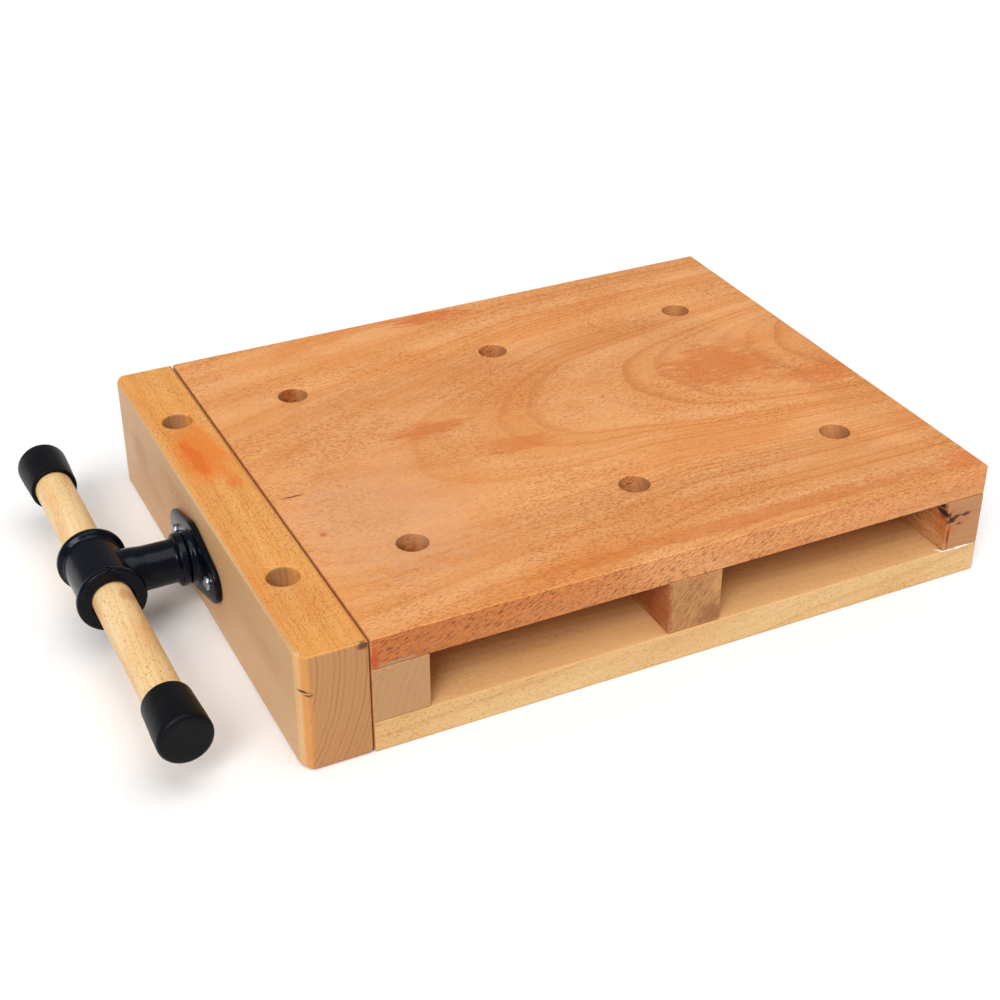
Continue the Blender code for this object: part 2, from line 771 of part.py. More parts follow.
def make_hub(screw, carrier):
    centre = Vector((HUB_X, 0, AXIS_Z))
    hub = turned("handle_hub", hub_profile(), centre, Y_AXIS, HUB_SIDES)
    make_part(hub, "black_casting", carrier)
    collar = STEM_COLLAR_LENGTH
    stem_length = STEM_END - HUB_X
    stem_profile = [
        (0, stem_length),
        (STEM_COLLAR_RADIUS, stem_length),
        (STEM_COLLAR_RADIUS, stem_length - collar * 0.5),
        (STEM_RADIUS + STEM_SWELL / 2, stem_length - collar),
        (STEM_RADIUS, stem_length * 0.45),
        (STEM_RADIUS + STEM_SWELL, HUB_WAIST_RADIUS * 0.8),
        (STEM_RADIUS + STEM_SWELL, BAR_RADIUS * 0.5),
        (0, BAR_RADIUS * 0.5),
    ]
    stem = make_cutter(turned("hub_stem", stem_profile, centre, X_AXIS, HUB_SIDES))
    combine(hub, stem, "UNION")
    bar_hole = rod(
        "bar_hole",
        centre - Y_AXIS * HUB_LENGTH,
        centre + Y_AXIS * HUB_LENGTH,
        BAR_RADIUS + BAR_CLEARANCE,
        HUB_SIDES,
    )
    socket = rod(
        "journal_socket",
        (SOCKET_FLOOR, 0, AXIS_Z),
        (STEM_END + CUT_MARGIN, 0, AXIS_Z),
        JOURNAL_RADIUS + CONTACT_GAP,
        HUB_SIDES,
    )
    cut(hub, make_cutter(bar_hole), make_cutter(socket))
    make_hub_pin(hub, screw, carrier)
    make_grub_screw(hub, carrier)
    weld(hub)


def make_hub_pin(hub, screw, carrier):
    """A cross pin, driven in from the underside, that locks the hub to the spindle."""
    x = (SOCKET_FLOOR + STEM_END) / 2 + HUB_PIN_SHIFT
    low = AXIS_Z - STEM_RADIUS + HUB_PIN_RECESS
    high = AXIS_Z + JOURNAL_RADIUS + HUB_PIN_OVERRUN
    pin = rod("hub_pin", (x, 0, low), (x, 0, high), PIN_RADIUS, SMALL_SIDES)
    make_part(pin, "bright_steel", carrier)
    hole = rod(
        "hub_pin_hole",
        (x, 0, low - CUT_MARGIN),
        (x, 0, high + CONTACT_GAP),
        PIN_RADIUS + CONTACT_GAP,
        SMALL_SIDES,
    )
    cutter = make_cutter(hole)
    cut(hub, cutter)
    cut(screw, cutter)


def make_grub_screw(hub, carrier):
    """A small grub screw on top of the front rim, which sets the drag on the handle bar."""
    y = -HUB_LENGTH / 2 + HUB_RIM_WIDTH * 0.5
    low = AXIS_Z + BAR_RADIUS + BAR_CLEARANCE + CONTACT_GAP
    high = AXIS_Z + HUB_RIM_RADIUS + GRUB_PROUD
    profile = [
        (0, high - low),
        (GRUB_RADIUS * 0.6, high - low),
        (GRUB_RADIUS, high - low - GRUB_PROUD),
        (GRUB_RADIUS, 0),
        (0, 0),
    ]
    grub = turned("hub_grub_screw", profile, (HUB_X, y, low), Z_AXIS, SMALL_SIDES)
    make_part(grub, "black_casting", carrier)
    hole = rod(
        "grub_hole",
        (HUB_X, y, AXIS_Z + BAR_RADIUS / 2),
        (HUB_X, y, high + CUT_MARGIN),
        GRUB_RADIUS + CONTACT_GAP,
        SMALL_SIDES,
    )
    cut(hub, make_cutter(hole))


# ---------------------------------------------------------------- handle

def make_handle(carrier):
    """The bar and its caps, resting where the bar was last left in the hub."""
    half = HANDLE_LENGTH / 2
    bar_half = half - CAP_END_THICKNESS - CONTACT_GAP
    start = (HUB_X, HANDLE_REST_OFFSET - bar_half, AXIS_Z)
    end = (HUB_X, HANDLE_REST_OFFSET + bar_half, AXIS_Z)
    bar = rod("handle_bar", start, end, BAR_RADIUS, FINE_SIDES)
    bevel(bar, BAR_EASE, segments=1)
    make_part(bar, "turned_beech", carrier)
    inner = BAR_RADIUS + CONTACT_GAP
    lip = (CAP_MOUTH_RADIUS - inner) * 0.4
    corner = CAP_RADIUS * 0.2
    profile = [
        (0, CAP_LENGTH),
        (CAP_RADIUS - corner, CAP_LENGTH),
        (CAP_RADIUS - corner * 0.3, CAP_LENGTH - corner * 0.3),
        (CAP_RADIUS, CAP_LENGTH - corner),
        (CAP_MOUTH_RADIUS, lip),
        (CAP_MOUTH_RADIUS - lip, 0),
        (inner, 0),
        (inner, CAP_LENGTH - CAP_END_THICKNESS),
        (0, CAP_LENGTH - CAP_END_THICKNESS),
    ]
    for row, side in (("front", -1), ("rear", 1)):
        place = (HUB_X, HANDLE_REST_OFFSET + side * (half - CAP_LENGTH), AXIS_Z)
        cap = turned("handle_cap_" + row, profile, place, Y_AXIS * side, FINE_SIDES)
        make_part(cap, "black_rubber", carrier)


# ---------------------------------------------------------------- assembly

def build():
    jaw_body = pivot("jaw_slide_axis", (JAW_INNER, 0, AXIS_Z))
    screw_body = pivot("screw_turn_axis", (HUB_X, 0, AXIS_Z), jaw_body)
    handle_body = pivot("handle_slide_axis", (HUB_X, 0, AXIS_Z), screw_body)

    bottom = make_boards()
    left, middle, right = make_spacers()
    make_board_screws(bottom, left, middle, right)
    make_nut(left)
    make_bushes(left, middle)
    jaw = make_jaw(jaw_body)
    make_flange(jaw, jaw_body)
    screw = make_vise_screw(screw_body)
    make_hub(screw, screw_body)
    make_handle(handle_body)


build()
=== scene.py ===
"""Looks of the bench-top vise board: fine meshes, procedural materials, light and camera."""
import json
import math

import bmesh
import bpy
from mathutils import Euler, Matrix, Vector


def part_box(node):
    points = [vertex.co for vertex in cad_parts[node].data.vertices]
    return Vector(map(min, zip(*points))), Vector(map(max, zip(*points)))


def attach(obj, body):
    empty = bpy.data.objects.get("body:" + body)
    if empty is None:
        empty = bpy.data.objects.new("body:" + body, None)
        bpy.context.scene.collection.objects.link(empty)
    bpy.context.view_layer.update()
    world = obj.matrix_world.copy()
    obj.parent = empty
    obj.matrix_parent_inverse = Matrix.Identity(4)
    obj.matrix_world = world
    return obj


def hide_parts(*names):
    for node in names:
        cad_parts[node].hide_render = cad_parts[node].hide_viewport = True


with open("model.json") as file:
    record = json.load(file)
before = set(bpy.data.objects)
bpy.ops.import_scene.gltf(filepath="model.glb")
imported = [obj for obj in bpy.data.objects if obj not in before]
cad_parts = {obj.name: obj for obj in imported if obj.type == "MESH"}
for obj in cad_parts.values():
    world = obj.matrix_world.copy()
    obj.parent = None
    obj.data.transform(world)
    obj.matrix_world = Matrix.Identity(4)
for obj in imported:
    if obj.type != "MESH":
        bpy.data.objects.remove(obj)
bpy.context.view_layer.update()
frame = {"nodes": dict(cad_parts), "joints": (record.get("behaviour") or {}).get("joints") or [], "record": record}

NODES = frame["nodes"]
X_AXIS = Vector((1, 0, 0))
Y_AXIS = Vector((0, 1, 0))
Z_AXIS = Vector((0, 0, 1))

# Camera, in metres and degrees
CAMERA_PLACE = (-0.4725, -0.8765, 0.6275)
CAMERA_AZIMUTH = -26.09
CAMERA_ELEVATION = 31.85
CAMERA_LENS = 63.33

# Fine sizes that the solids leave out
HOLE_SIDES = 96
FINE_SIDES = 96
SMALL_SIDES = 32
CUT_MARGIN = 0.01
CONTACT_GAP = 0.0003
BOARD_CORNER_RADIUS = 0.00108
BOARD_EASE = 0.0011
JAW_EASE = 0.0016
JAW_CORNER_RADIUS = 0.014
JAW_CORNER_SWEEP = math.radians(52)
JAW_CORNER_STEPS = 14
JAW_INNER_ROUND = 0.0012
JAW_LOWER_ROUND = 0.0045
JAW_JOURNAL_BORE = 0.0086
WASHER_POCKET_CLEARANCE = 0.001
GLUE_BEAD_RADIUS = 0.0011
GLUE_BEAD_OVERRUN = 0.004
GLUE_BEAD_SHORTFALL = 0.003
GLUE_BEAD_STEPS = 40
GLUE_BEAD_SIDES = 10

# Cast hub and flange
HUB_WAIST_DEPTH = 0.0030
HUB_RIM_WIDTH = 0.0040
HUB_RIM_ROUND = 0.0014
HUB_ROOT_ROUND = 0.0022
HUB_ROOT_START = 0.0075
HUB_VOXEL = 0.00055
HUB_JOURNAL_BORE = 0.0083
STEM_PROFILE = ((0, 0.006), (0.0147, 0.006), (0.0145, 0.019), (0.0136, 0.026))
STEM_END_RADIUS = 0.0134
COLLAR_RADIUS = 0.0165
COLLAR_ROOT_RADIUS = 0.0140
COLLAR_ROUND = 0.0012
COLLAR_END_ROUND = 0.0010
BAR_CLEARANCE = 0.0004
BAR_MOUTH_FLARE = 0.0010
BAR_MOUTH_DEPTH = 0.0012
BAR_CUTTER_OVERRUN = 0.004
BAR_CUTTER_SPREAD = 0.002
GRUB_HOLE_RADIUS = 0.0022
GRUB_RIM_ROUND = 0.0006
FLANGE_THICKNESS = 0.004
FLANGE_EASE = 0.0012
FLANGE_BOSS_RADIUS = 0.0165
FLANGE_BOSS_ROOT = 0.0022
FLANGE_BOSS_ROUND = 0.0012
FLANGE_BORE = 0.0084

# Pan-head screws
PAN_HEAD_RADIUS = 0.0044
PAN_HEAD_HEIGHT = 0.0026
PAN_HEAD_ROUND = 0.0013
PAN_SHANK_RADIUS = 0.0022
PAN_SCREW_LENGTH = 0.026
PAN_SLOT_SIZE = (0.0032, 0.0010, 0.0046)
PAN_SLOT_TAPER = 0.55
PAN_SLOT_TURN = 20

# Spindle
THREAD_PITCH = 0.004
THREAD_DEPTH = 0.00225
THREAD_SAMPLES = 14
THREAD_SIDES = 40
JOURNAL_RADIUS = 0.008
JOURNAL_EASE = 0.0006

# Handle bar and caps
BAR_EASE = 0.001
BAR_RINGS = 60
BAR_WAVE = 0.00006
BAR_WAVE_DEPTH = 0.00007
CAP_SKIN = 0.0001
CAP_MOUTH_SHARE = 0.925
CAP_END_WALL = 0.004
CAP_LIP_ROUND = 0.0006
CAP_MOUTH_ROUND = 0.0009
CAP_END_ROUND = 0.0032


# Studio: lamps as (azimuth, elevation, spread, strength), in degrees and watts a square metre
FLOOR_SIZE = 40.0
FLOOR_DROP = 0.0004
WORLD_STRENGTH = 0.32
KEY_LIGHT = (-42, 42, 26, 1.85)
TOP_LIGHT = (20, 76, 50, 1.25)


# ---------------------------------------------------------------- places from the frame

def centre_of(node):
    low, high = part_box(node)
    return (Vector(low) + Vector(high)) / 2


def size_of(node):
    low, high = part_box(node)
    return Vector(high) - Vector(low)


def joint(name):
    return next(item for item in frame["joints"] if item["name"] == name)


def opening_centre(name):
    """Centre of one of the record's stated openings."""
    openings = frame["record"]["physics"]["openings"]
    low, high = next(item["box_m"] for item in openings if item["name"] == name)
    return (Vector(low) + Vector(high)) / 2


ROWS = ("front", "rear")
AXIS_PLACE = Vector(joint("screw_turn")["pos_m"])
AXIS_Z = AXIS_PLACE.z
HUB_X = AXIS_PLACE.x
DOG_RADIUS = 0.0095
DOG_HOLES = {
    "top_board": ["dog_hole_" + side + "_" + row for side in ("left", "middle", "right") for row in ROWS],
    "front_jaw": ["jaw_dog_hole_" + row for row in ROWS],
}


# ---------------------------------------------------------------- mesh helpers

def add_object(name, mesh):
    piece = bpy.data.objects.new(name, mesh)
    bpy.context.scene.collection.objects.link(piece)
    return piece


def mesh_from(name, builder):
    mesh = bpy.data.meshes.new(name)
    builder.to_mesh(mesh)
    builder.free()
    return mesh


def shade(mesh, degrees=30):
    mesh.shade_smooth()
    mesh.set_sharp_from_angle(angle=math.radians(degrees))


def apply_modifiers(piece, degrees=30):
    """Turn a piece's modifiers into plain mesh, and remove their helpers."""
    helpers = [m.object for m in piece.modifiers if m.type == "BOOLEAN"]
    bpy.context.view_layer.update()
    evaluated = piece.evaluated_get(bpy.context.evaluated_depsgraph_get())
    mesh = bpy.data.meshes.new_from_object(evaluated)
    piece.modifiers.clear()
    piece.data = mesh
    shade(mesh, degrees)
    for helper in set(helpers):
        bpy.data.objects.remove(helper, do_unlink=True)


def boolean(piece, other, operation):
    modifier = piece.modifiers.new(operation.lower(), "BOOLEAN")
    modifier.operation = operation
    modifier.solver = "EXACT"
    modifier.object = other


def frame_axes(direction):
    """Two unit vectors square to a direction."""
    direction = Vector(direction).normalized()
    helper = Z_AXIS if abs(direction.z) < 0.9 else X_AXIS
    first = helper.cross(direction).normalized()
    return first, direction.cross(first)


def lathe(name, profile, place, direction, sides=FINE_SIDES):
    """A turned mesh in row coordinates. The profile is (radius, height) pairs, bottom to top."""
    place, direction = Vector(place), Vector(direction).normalized()
    first, second = frame_axes(direction)
    builder = bmesh.new()
    rows = []
    for radius, height in profile:
        base = place + direction * height
        if radius < 1e-7:
            rows.append([builder.verts.new(base)])
            continue
        angles = [math.tau * step / sides for step in range(sides)]
        spokes = [first * math.cos(a) + second * math.sin(a) for a in angles]
        rows.append([builder.verts.new(base + spoke * radius) for spoke in spokes])
    for lower, upper in zip(rows, rows[1:]):
        for step in range(sides):
            after = (step + 1) % sides
            if len(lower) == 1:
                corners = (lower[0], upper[after], upper[step])
            elif len(upper) == 1:
                corners = (lower[step], lower[after], upper[0])
            else:
                corners = (lower[step], lower[after], upper[after], upper[step])
            builder.faces.new(corners)
    bmesh.ops.recalc_face_normals(builder, faces=builder.faces)
    mesh = mesh_from(name, builder)
    shade(mesh)
    return add_object(name, mesh)


def fillet(centre, radius, start, end, steps=6):
    """Points of an arc, as (radius, height) pairs; angles in degrees."""
    turn = math.radians(end - start) / steps
    first = math.radians(start)
    return [
        (centre[0] + radius * math.cos(first + turn * k), centre[1] + radius * math.sin(first + turn * k))
        for k in range(steps + 1)
    ]


def cylinder(name, start, end, radius, sides=HOLE_SIDES):
    start, end = Vector(start), Vector(end)
    length = (end - start).length
    return lathe(name, [(0, 0), (radius, 0), (radius, length), (0, length)], start, end - start, sides)


def circle_points(place, radius):
    angles = [math.tau * k / HOLE_SIDES for k in range(HOLE_SIDES)]
    return [(place[0] + radius * math.cos(a), place[1] + radius * math.sin(a)) for a in angles]


def rounded_rectangle(low, high, radius):
    """Plan outline of a board with slightly rounded upright corners."""
    corners = (
        (high[0] - radius, high[1] - radius, 0),
        (low[0] + radius, high[1] - radius, 90),
        (low[0] + radius, low[1] + radius, 180),
        (high[0] - radius, low[1] + radius, 270),
    )
    points = []
    for x, y, start in corners:
        points += fillet((x, y), radius, start, start + 90, 5)
    return points


def plate(name, loops, low, high, ease):
    """A board between two heights: outlines filled, holes cut, and every rim rounded."""
    curve = bpy.data.curves.new(name, "CURVE")
    curve.dimensions = "2D"
    curve.fill_mode = "BOTH"
    curve.extrude = (high - low) / 2 - ease
    curve.bevel_depth = ease
    curve.bevel_resolution = 3
    curve.offset = -ease
    for loop in loops:
        spline = curve.splines.new("POLY")
        spline.points.add(len(loop) - 1)
        for point, (x, y) in zip(spline.points, loop):
            point.co = (x, y, 0, 1)
        spline.use_cyclic_u = True
    drawn = add_object(name + "_outline", curve)
    drawn.location.z = (low + high) / 2
    bpy.context.view_layer.update()
    evaluated = drawn.evaluated_get(bpy.context.evaluated_depsgraph_get())
    mesh = bpy.data.meshes.new_from_object(evaluated)
    mesh.transform(drawn.matrix_world)
    bpy.data.objects.remove(drawn, do_unlink=True)
    builder = bmesh.new()
    builder.from_mesh(mesh)
    bmesh.ops.remove_doubles(builder, verts=builder.verts, dist=0.000002)
    bmesh.ops.recalc_face_normals(builder, faces=builder.faces)
    builder.to_mesh(mesh)
    builder.free()
    shade(mesh, 40)
    mesh.name = name
    return add_object(name, mesh)


def place_piece(piece, body, slot, *nodes):
    """Ride a piece on its body, and let it stand for the solids it refines."""
    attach(piece, body)
    if nodes:
        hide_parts(*nodes)


def paint(piece, material):
    piece.data.materials.clear()
    piece.data.materials.append(material)


# ---------------------------------------------------------------- material helpers

class Graph:
    """Short calls that build one material's node tree."""

    def __init__(self, name):
        self.material = bpy.data.materials.new(name)
        self.material.use_nodes = True
        self.tree = self.material.node_tree
        self.shader = self.tree.nodes["Principled BSDF"]
        coordinates = self.tree.nodes.new("ShaderNodeTexCoord")
        self.normal = coordinates.outputs["Normal"]
        self.place = self.scaled(coordinates.outputs["Object"], 1000)

    def add(self, kind, **settings):
        node = self.tree.nodes.new(kind)
        for key, value in settings.items():
            setattr(node, key, value)
        return node

    def feed(self, socket, value):
        if isinstance(value, bpy.types.NodeSocket):
            self.tree.links.new(value, socket)
        else:
            socket.default_value = value

    def scaled(self, vector, factor):
        node = self.add("ShaderNodeVectorMath", operation="SCALE")
        self.feed(node.inputs[0], vector)
        node.inputs["Scale"].default_value = factor
        return node.outputs[0]

    def split(self, vector):
        node = self.add("ShaderNodeSeparateXYZ")
        self.feed(node.inputs[0], vector)
        return node.outputs[0], node.outputs[1], node.outputs[2]

    def join(self, x, y, z):
        node = self.add("ShaderNodeCombineXYZ")
        for socket, value in zip(node.inputs, (x, y, z)):
            self.feed(socket, value)
        return node.outputs[0]

    def math(self, operation, first, second=0.0, third=0.0):
        node = self.add("ShaderNodeMath", operation=operation)
        for socket, value in zip(node.inputs, (first, second, third)):
            self.feed(socket, value)
        return node.outputs[0]

    def times(self, first, second):
        return self.math("MULTIPLY", first, second)

    def plus(self, first, second):
        return self.math("ADD", first, second)

    def times_plus(self, first, second, third):
        return self.math("MULTIPLY_ADD", first, second, third)

    def base_colour(self, value):
        self.feed(self.shader.inputs["Base Color"], value)

    def roughness(self, value):
        self.feed(self.shader.inputs["Roughness"], value)

    def step(self, value, low, high, out_low=0.0, out_high=1.0):
        """Smooth step: out_low below low, out_high above high."""
        node = self.add("ShaderNodeMapRange", interpolation_type="SMOOTHSTEP", clamp=True)
        keys = ("Value", "From Min", "From Max", "To Min", "To Max")
        for key, item in zip(keys, (value, low, high, out_low, out_high)):
            self.feed(node.inputs[key], item)
        return node.outputs[0]

    def noise(self, vector, scale=1.0, detail=2.0, roughness=0.5):
        node = self.add("ShaderNodeTexNoise")
        self.feed(node.inputs["Vector"], vector)
        node.inputs["Scale"].default_value = scale
        node.inputs["Detail"].default_value = detail
        node.inputs["Roughness"].default_value = roughness
        return node.outputs["Fac"]

    def mix(self, amount, first, second, mode="MIX"):
        node = self.add("ShaderNodeMix", data_type="RGBA", blend_type=mode)
        self.feed(node.inputs[0], amount)
        self.feed(node.inputs[6], self.colour(first))
        self.feed(node.inputs[7], self.colour(second))
        return node.outputs[2]

    @staticmethod
    def colour(value):
        return (*value, 1.0) if isinstance(value, tuple) and len(value) == 3 else value

    def bump(self, height, strength, distance):
        node = self.add("ShaderNodeBump")
        node.inputs["Strength"].default_value = strength
        node.inputs["Distance"].default_value = distance
        self.feed(node.inputs["Height"], height)
        self.feed(self.shader.inputs["Normal"], node.outputs[0])

    def spot(self, centre, radii, ragged, grain):
        """Soft mask round a point, in mm, with a ragged edge."""
        shift = self.add("ShaderNodeVectorMath", operation="SUBTRACT")
        self.feed(shift.inputs[0], self.place)
        shift.inputs[1].default_value = centre
        shrink = self.add("ShaderNodeVectorMath", operation="DIVIDE")
        self.feed(shrink.inputs[0], shift.outputs[0])
        shrink.inputs[1].default_value = radii
        length = self.add("ShaderNodeVectorMath", operation="LENGTH")
        self.feed(length.inputs[0], shrink.outputs[0])
        stretch = self.add("ShaderNodeVectorMath", operation="MULTIPLY")
        self.feed(stretch.inputs[0], self.place)
        stretch.inputs[1].default_value = grain
        wobble = self.math("MULTIPLY_ADD", self.noise(stretch.outputs[0], detail=3), 2 * ragged, -ragged)
        return self.step(self.math("ADD", length.outputs["Value"], wobble), 1.0, 0.35)


def srgb(red, green, blue):
    """Linear colour of an 8-bit display colour."""
    def linear(value):
        value /= 255
        return value / 12.92 if value <= 0.04045 else ((value + 0.055) / 1.055) ** 2.4
    return linear(red), linear(green), linear(blue)


# ---------------------------------------------------------------- wood

# The rings lie round a pith line, given across and up. Drift bends the pith below a place on the
# grain, and taper draws arches that fade between the two reaches. Calm fades the ring lines between
# two places on X. Edge and tears colour and tear the long edges.
BEECH = {
    "grain": "x",
    "pith": (16.0, -40.0),
    "drift": (0.0, 0.0),
    "taper": 0.05,
    "taper_reach": (400.0, 900.0),
    "ring_width": 3.6,
    "warp": 9.0,
    "pale": srgb(236, 171, 110),
    "mid": srgb(229, 155, 89),
    "deep": srgb(223, 140, 70),
    "line": srgb(196, 112, 56),
    "line_strength": 0.42,
    "calm": (-900.0, -800.0, 1.0),
    "fleck": srgb(170, 92, 42),
    "fleck_strength": 0.66,
    "fleck_cut": (0.54, 0.66),
    "fleck_size": (2.0, 0.60),
    "blotch": (0.42, 0.70),
    "end": srgb(196, 146, 103),
    "end_line": srgb(170, 116, 76),
    "edge": None,
    "roughness": 0.46,
    "bump": 0.30,
    "seed": 0.0,
    "marks": (),
    "tears": None,
}


def wood(name, **changes):
    """Solid beech: growth rings round a pith, fibres, ray flecks, end grain and local marks.

    Lengths are in mm. A mark is (centre, radii, colour, strength, raggedness).
    """
    look = {**BEECH, **changes}
    graph = Graph(name)
    x, y, z = graph.split(graph.place)
    along, across = (x, y) if look["grain"] == "x" else (y, x)
    normal_x, normal_y, normal_z = graph.split(graph.normal)
    end_normal = normal_x if look["grain"] == "x" else normal_y

    def stretched(length, width, seed=0.0):
        """Coordinates whose noise cells are length mm long and width mm wide."""
        shift = look["seed"] * 37.0 + seed
        return graph.join(
            graph.times_plus(along, 1 / length, shift),
            graph.times(across, 1 / width),
            graph.times(z, 1 / width),
        )

    # Growth rings: distance to a pith that drifts sideways, less a taper that draws arches
    drift_slope, drift_end = look["drift"]
    drifted = graph.times(graph.math("MINIMUM", graph.math("SUBTRACT", along, drift_end), 0.0), drift_slope)
    side = graph.math("SUBTRACT", graph.math("SUBTRACT", across, look["pith"][0]), drifted)
    height = graph.math("SUBTRACT", z, look["pith"][1])
    radius = graph.math("SQRT", graph.plus(graph.math("POWER", side, 2.0), graph.math("POWER", height, 2.0)))
    near, far = look["taper_reach"]
    hold = graph.step(graph.math("ABSOLUTE", side), near, far, look["taper"], 0.0)
    radius = graph.math("SUBTRACT", radius, graph.times(hold, graph.plus(along, 220.0)))
    slow = graph.noise(stretched(150, 55), detail=1)
    quick = graph.noise(stretched(34, 12, 9.0), detail=2)
    radius = graph.times_plus(slow, look["warp"], radius)
    radius = graph.times_plus(quick, look["warp"] * 0.22, radius)
    turns = graph.math("DIVIDE", radius, look["ring_width"])
    phase = graph.math("FRACT", turns)
    line = graph.times(graph.step(phase, 0.50, 0.95), graph.step(phase, 1.0, 0.96))
    band = graph.noise(graph.join(graph.times(turns, 0.45), 4.0 + look["seed"], 0.0), detail=1)
    line = graph.times(line, graph.step(band, 0.38, 0.60, 0.15, 1.0))

    # Fibres, flecks and slow changes of tone
    fibre = graph.noise(stretched(16, 0.55, 3.0), detail=3, roughness=0.6)
    fleck = graph.noise(stretched(*look["fleck_size"], 5.0), detail=1, roughness=0.6)
    fleck = graph.step(fleck, *look["fleck_cut"])
    patch = graph.step(graph.noise(stretched(70, 45, 7.0), detail=1), 0.35, 0.65, 0.45, 1.0)
    fleck = graph.times(fleck, patch)
    blotch = graph.step(graph.noise(stretched(80, 30, 11.0), detail=2), *look["blotch"])
    tone = graph.step(band, 0.3, 0.7)

    colour = graph.mix(tone, look["pale"], look["mid"])
    colour = graph.mix(graph.times(blotch, 0.65), colour, look["deep"])
    calm_start, calm_stop, calm_least = look["calm"]
    drawn = graph.times(line, graph.step(x, calm_start, calm_stop, calm_least, 1.0))
    colour = graph.mix(graph.times(drawn, look["line_strength"]), colour, look["line"])
    streak = graph.step(fibre, 0.40, 0.72)
    colour = graph.mix(graph.times(streak, 0.25), colour, look["line"])
    shine = graph.step(fibre, 0.48, 0.25)
    colour = graph.mix(graph.times(shine, 0.18), colour, look["pale"])

    # The long edges can be darker at one end of the board
    if look["edge"]:
        tint, start, stop, least = look["edge"]
        facing = graph.step(graph.math("ABSOLUTE", normal_y), 0.6, 0.95)
        colour = graph.mix(graph.times(facing, graph.step(x, start, stop, least, 1.0)), colour, tint)
    colour = graph.mix(graph.times(fleck, look["fleck_strength"]), colour, look["fleck"])

    # End grain: rings as arcs, and fine grit between them
    facing_end = graph.step(graph.math("ABSOLUTE", end_normal), 0.40, 1.0)
    grit = graph.noise(graph.place, scale=1.6, detail=3, roughness=0.7)
    end_tone = graph.plus(graph.times(line, 0.6), graph.times(grit, 0.4))
    end_colour = graph.mix(end_tone, look["end"], look["end_line"])
    colour = graph.mix(facing_end, colour, end_colour)

    # Torn grain on the long edges
    tear = 0.0
    if look["tears"]:
        tear = torn_grain(graph, look["tears"], x, z, normal_y)
        colour = graph.mix(graph.times(tear, 0.8), colour, look["tears"]["colour"])

    streaky = (0.07, 0.28, 0.28) if look["grain"] == "x" else (0.28, 0.07, 0.28)
    for centre, radii, tint, strength, ragged in look["marks"]:
        mask = graph.times(graph.spot(centre, radii, ragged, streaky), strength)
        colour = graph.mix(mask, colour, tint)
    colour = graph.mix(graph.times(fleck, 0.30), colour, (0.62, 0.48, 0.38), "MULTIPLY")

    graph.base_colour(colour)
    rough = graph.times_plus(fibre, 0.16, look["roughness"] - 0.08)
    rough = graph.times_plus(facing_end, 0.2, rough)
    graph.roughness(rough)
    graph.shader.inputs["Specular IOR Level"].default_value = 0.30
    relief = graph.times_plus(fleck, -0.5, graph.times(fibre, 0.6))
    relief = graph.times_plus(line, -0.15, relief)
    relief = graph.times_plus(graph.times(facing_end, grit), 0.6, relief)
    relief = graph.times_plus(tear, -0.7, relief)
    graph.bump(relief, look["bump"], 0.0004)
    return graph.material


def torn_grain(graph, tears, x, z, normal_y):
    """Slanted, torn pores on the long edges: a stretched noise turned in the edge's plane."""
    lean = math.radians(tears["lean"])
    forward = graph.plus(graph.times(x, math.cos(lean)), graph.times(z, math.sin(lean)))
    upward = graph.math("SUBTRACT", graph.times(z, math.cos(lean)), graph.times(x, math.sin(lean)))
    cells = graph.join(
        graph.math("DIVIDE", forward, tears["length"]),
        graph.math("DIVIDE", upward, tears["width"]),
        0.0,
    )
    streaks = graph.step(graph.noise(cells, detail=2, roughness=0.65), *tears["cut"])
    facing = graph.step(graph.math("ABSOLUTE", normal_y), 0.6, 0.9)
    reach = graph.noise(graph.join(graph.times(x, 0.02), 0.0, 0.0), detail=1)
    reach = graph.step(reach, 0.3, 0.6, 0.4, 1.0)
    fade = graph.step(x, tears["until"] + 40, tears["until"] - 20, tears["rest"], 1.0)
    return graph.times(graph.times(streaks, facing), graph.times(reach, fade))


# ---------------------------------------------------------------- other materials

def black_paint(name, grit_scale, grit_strength):
    """Gloss black paint over a sand casting."""
    graph = Graph(name)
    coarse = graph.noise(graph.place, scale=grit_scale, detail=4, roughness=0.65)
    pits = graph.step(graph.noise(graph.place, scale=grit_scale * 0.35, detail=2), 0.58, 0.74)
    tint = graph.mix(coarse, (0.0010, 0.0018, 0.0048), (0.0028, 0.0040, 0.0100))
    graph.base_colour(tint)
    graph.roughness(graph.times_plus(coarse, 0.26, 0.06))
    graph.shader.inputs["Specular IOR Level"].default_value = 0.16
    graph.bump(graph.times_plus(pits, -0.6, coarse), grit_strength, 0.0004)
    return graph.material


def rubber(name):
    """Moulded satin rubber with a faint bloom."""
    graph = Graph(name)
    fine = graph.noise(graph.place, scale=2.2, detail=3, roughness=0.6)
    bloom = graph.step(graph.noise(graph.place, scale=0.12, detail=2), 0.4, 0.7)
    tint = graph.mix(graph.times(bloom, 0.5), (0.0022, 0.0026, 0.0040), (0.0060, 0.0064, 0.0080))
    graph.base_colour(tint)
    graph.roughness(graph.times_plus(fine, 0.18, 0.34))
    graph.shader.inputs["Specular IOR Level"].default_value = 0.13
    graph.bump(fine, 0.08, 0.0003)
    return graph.material


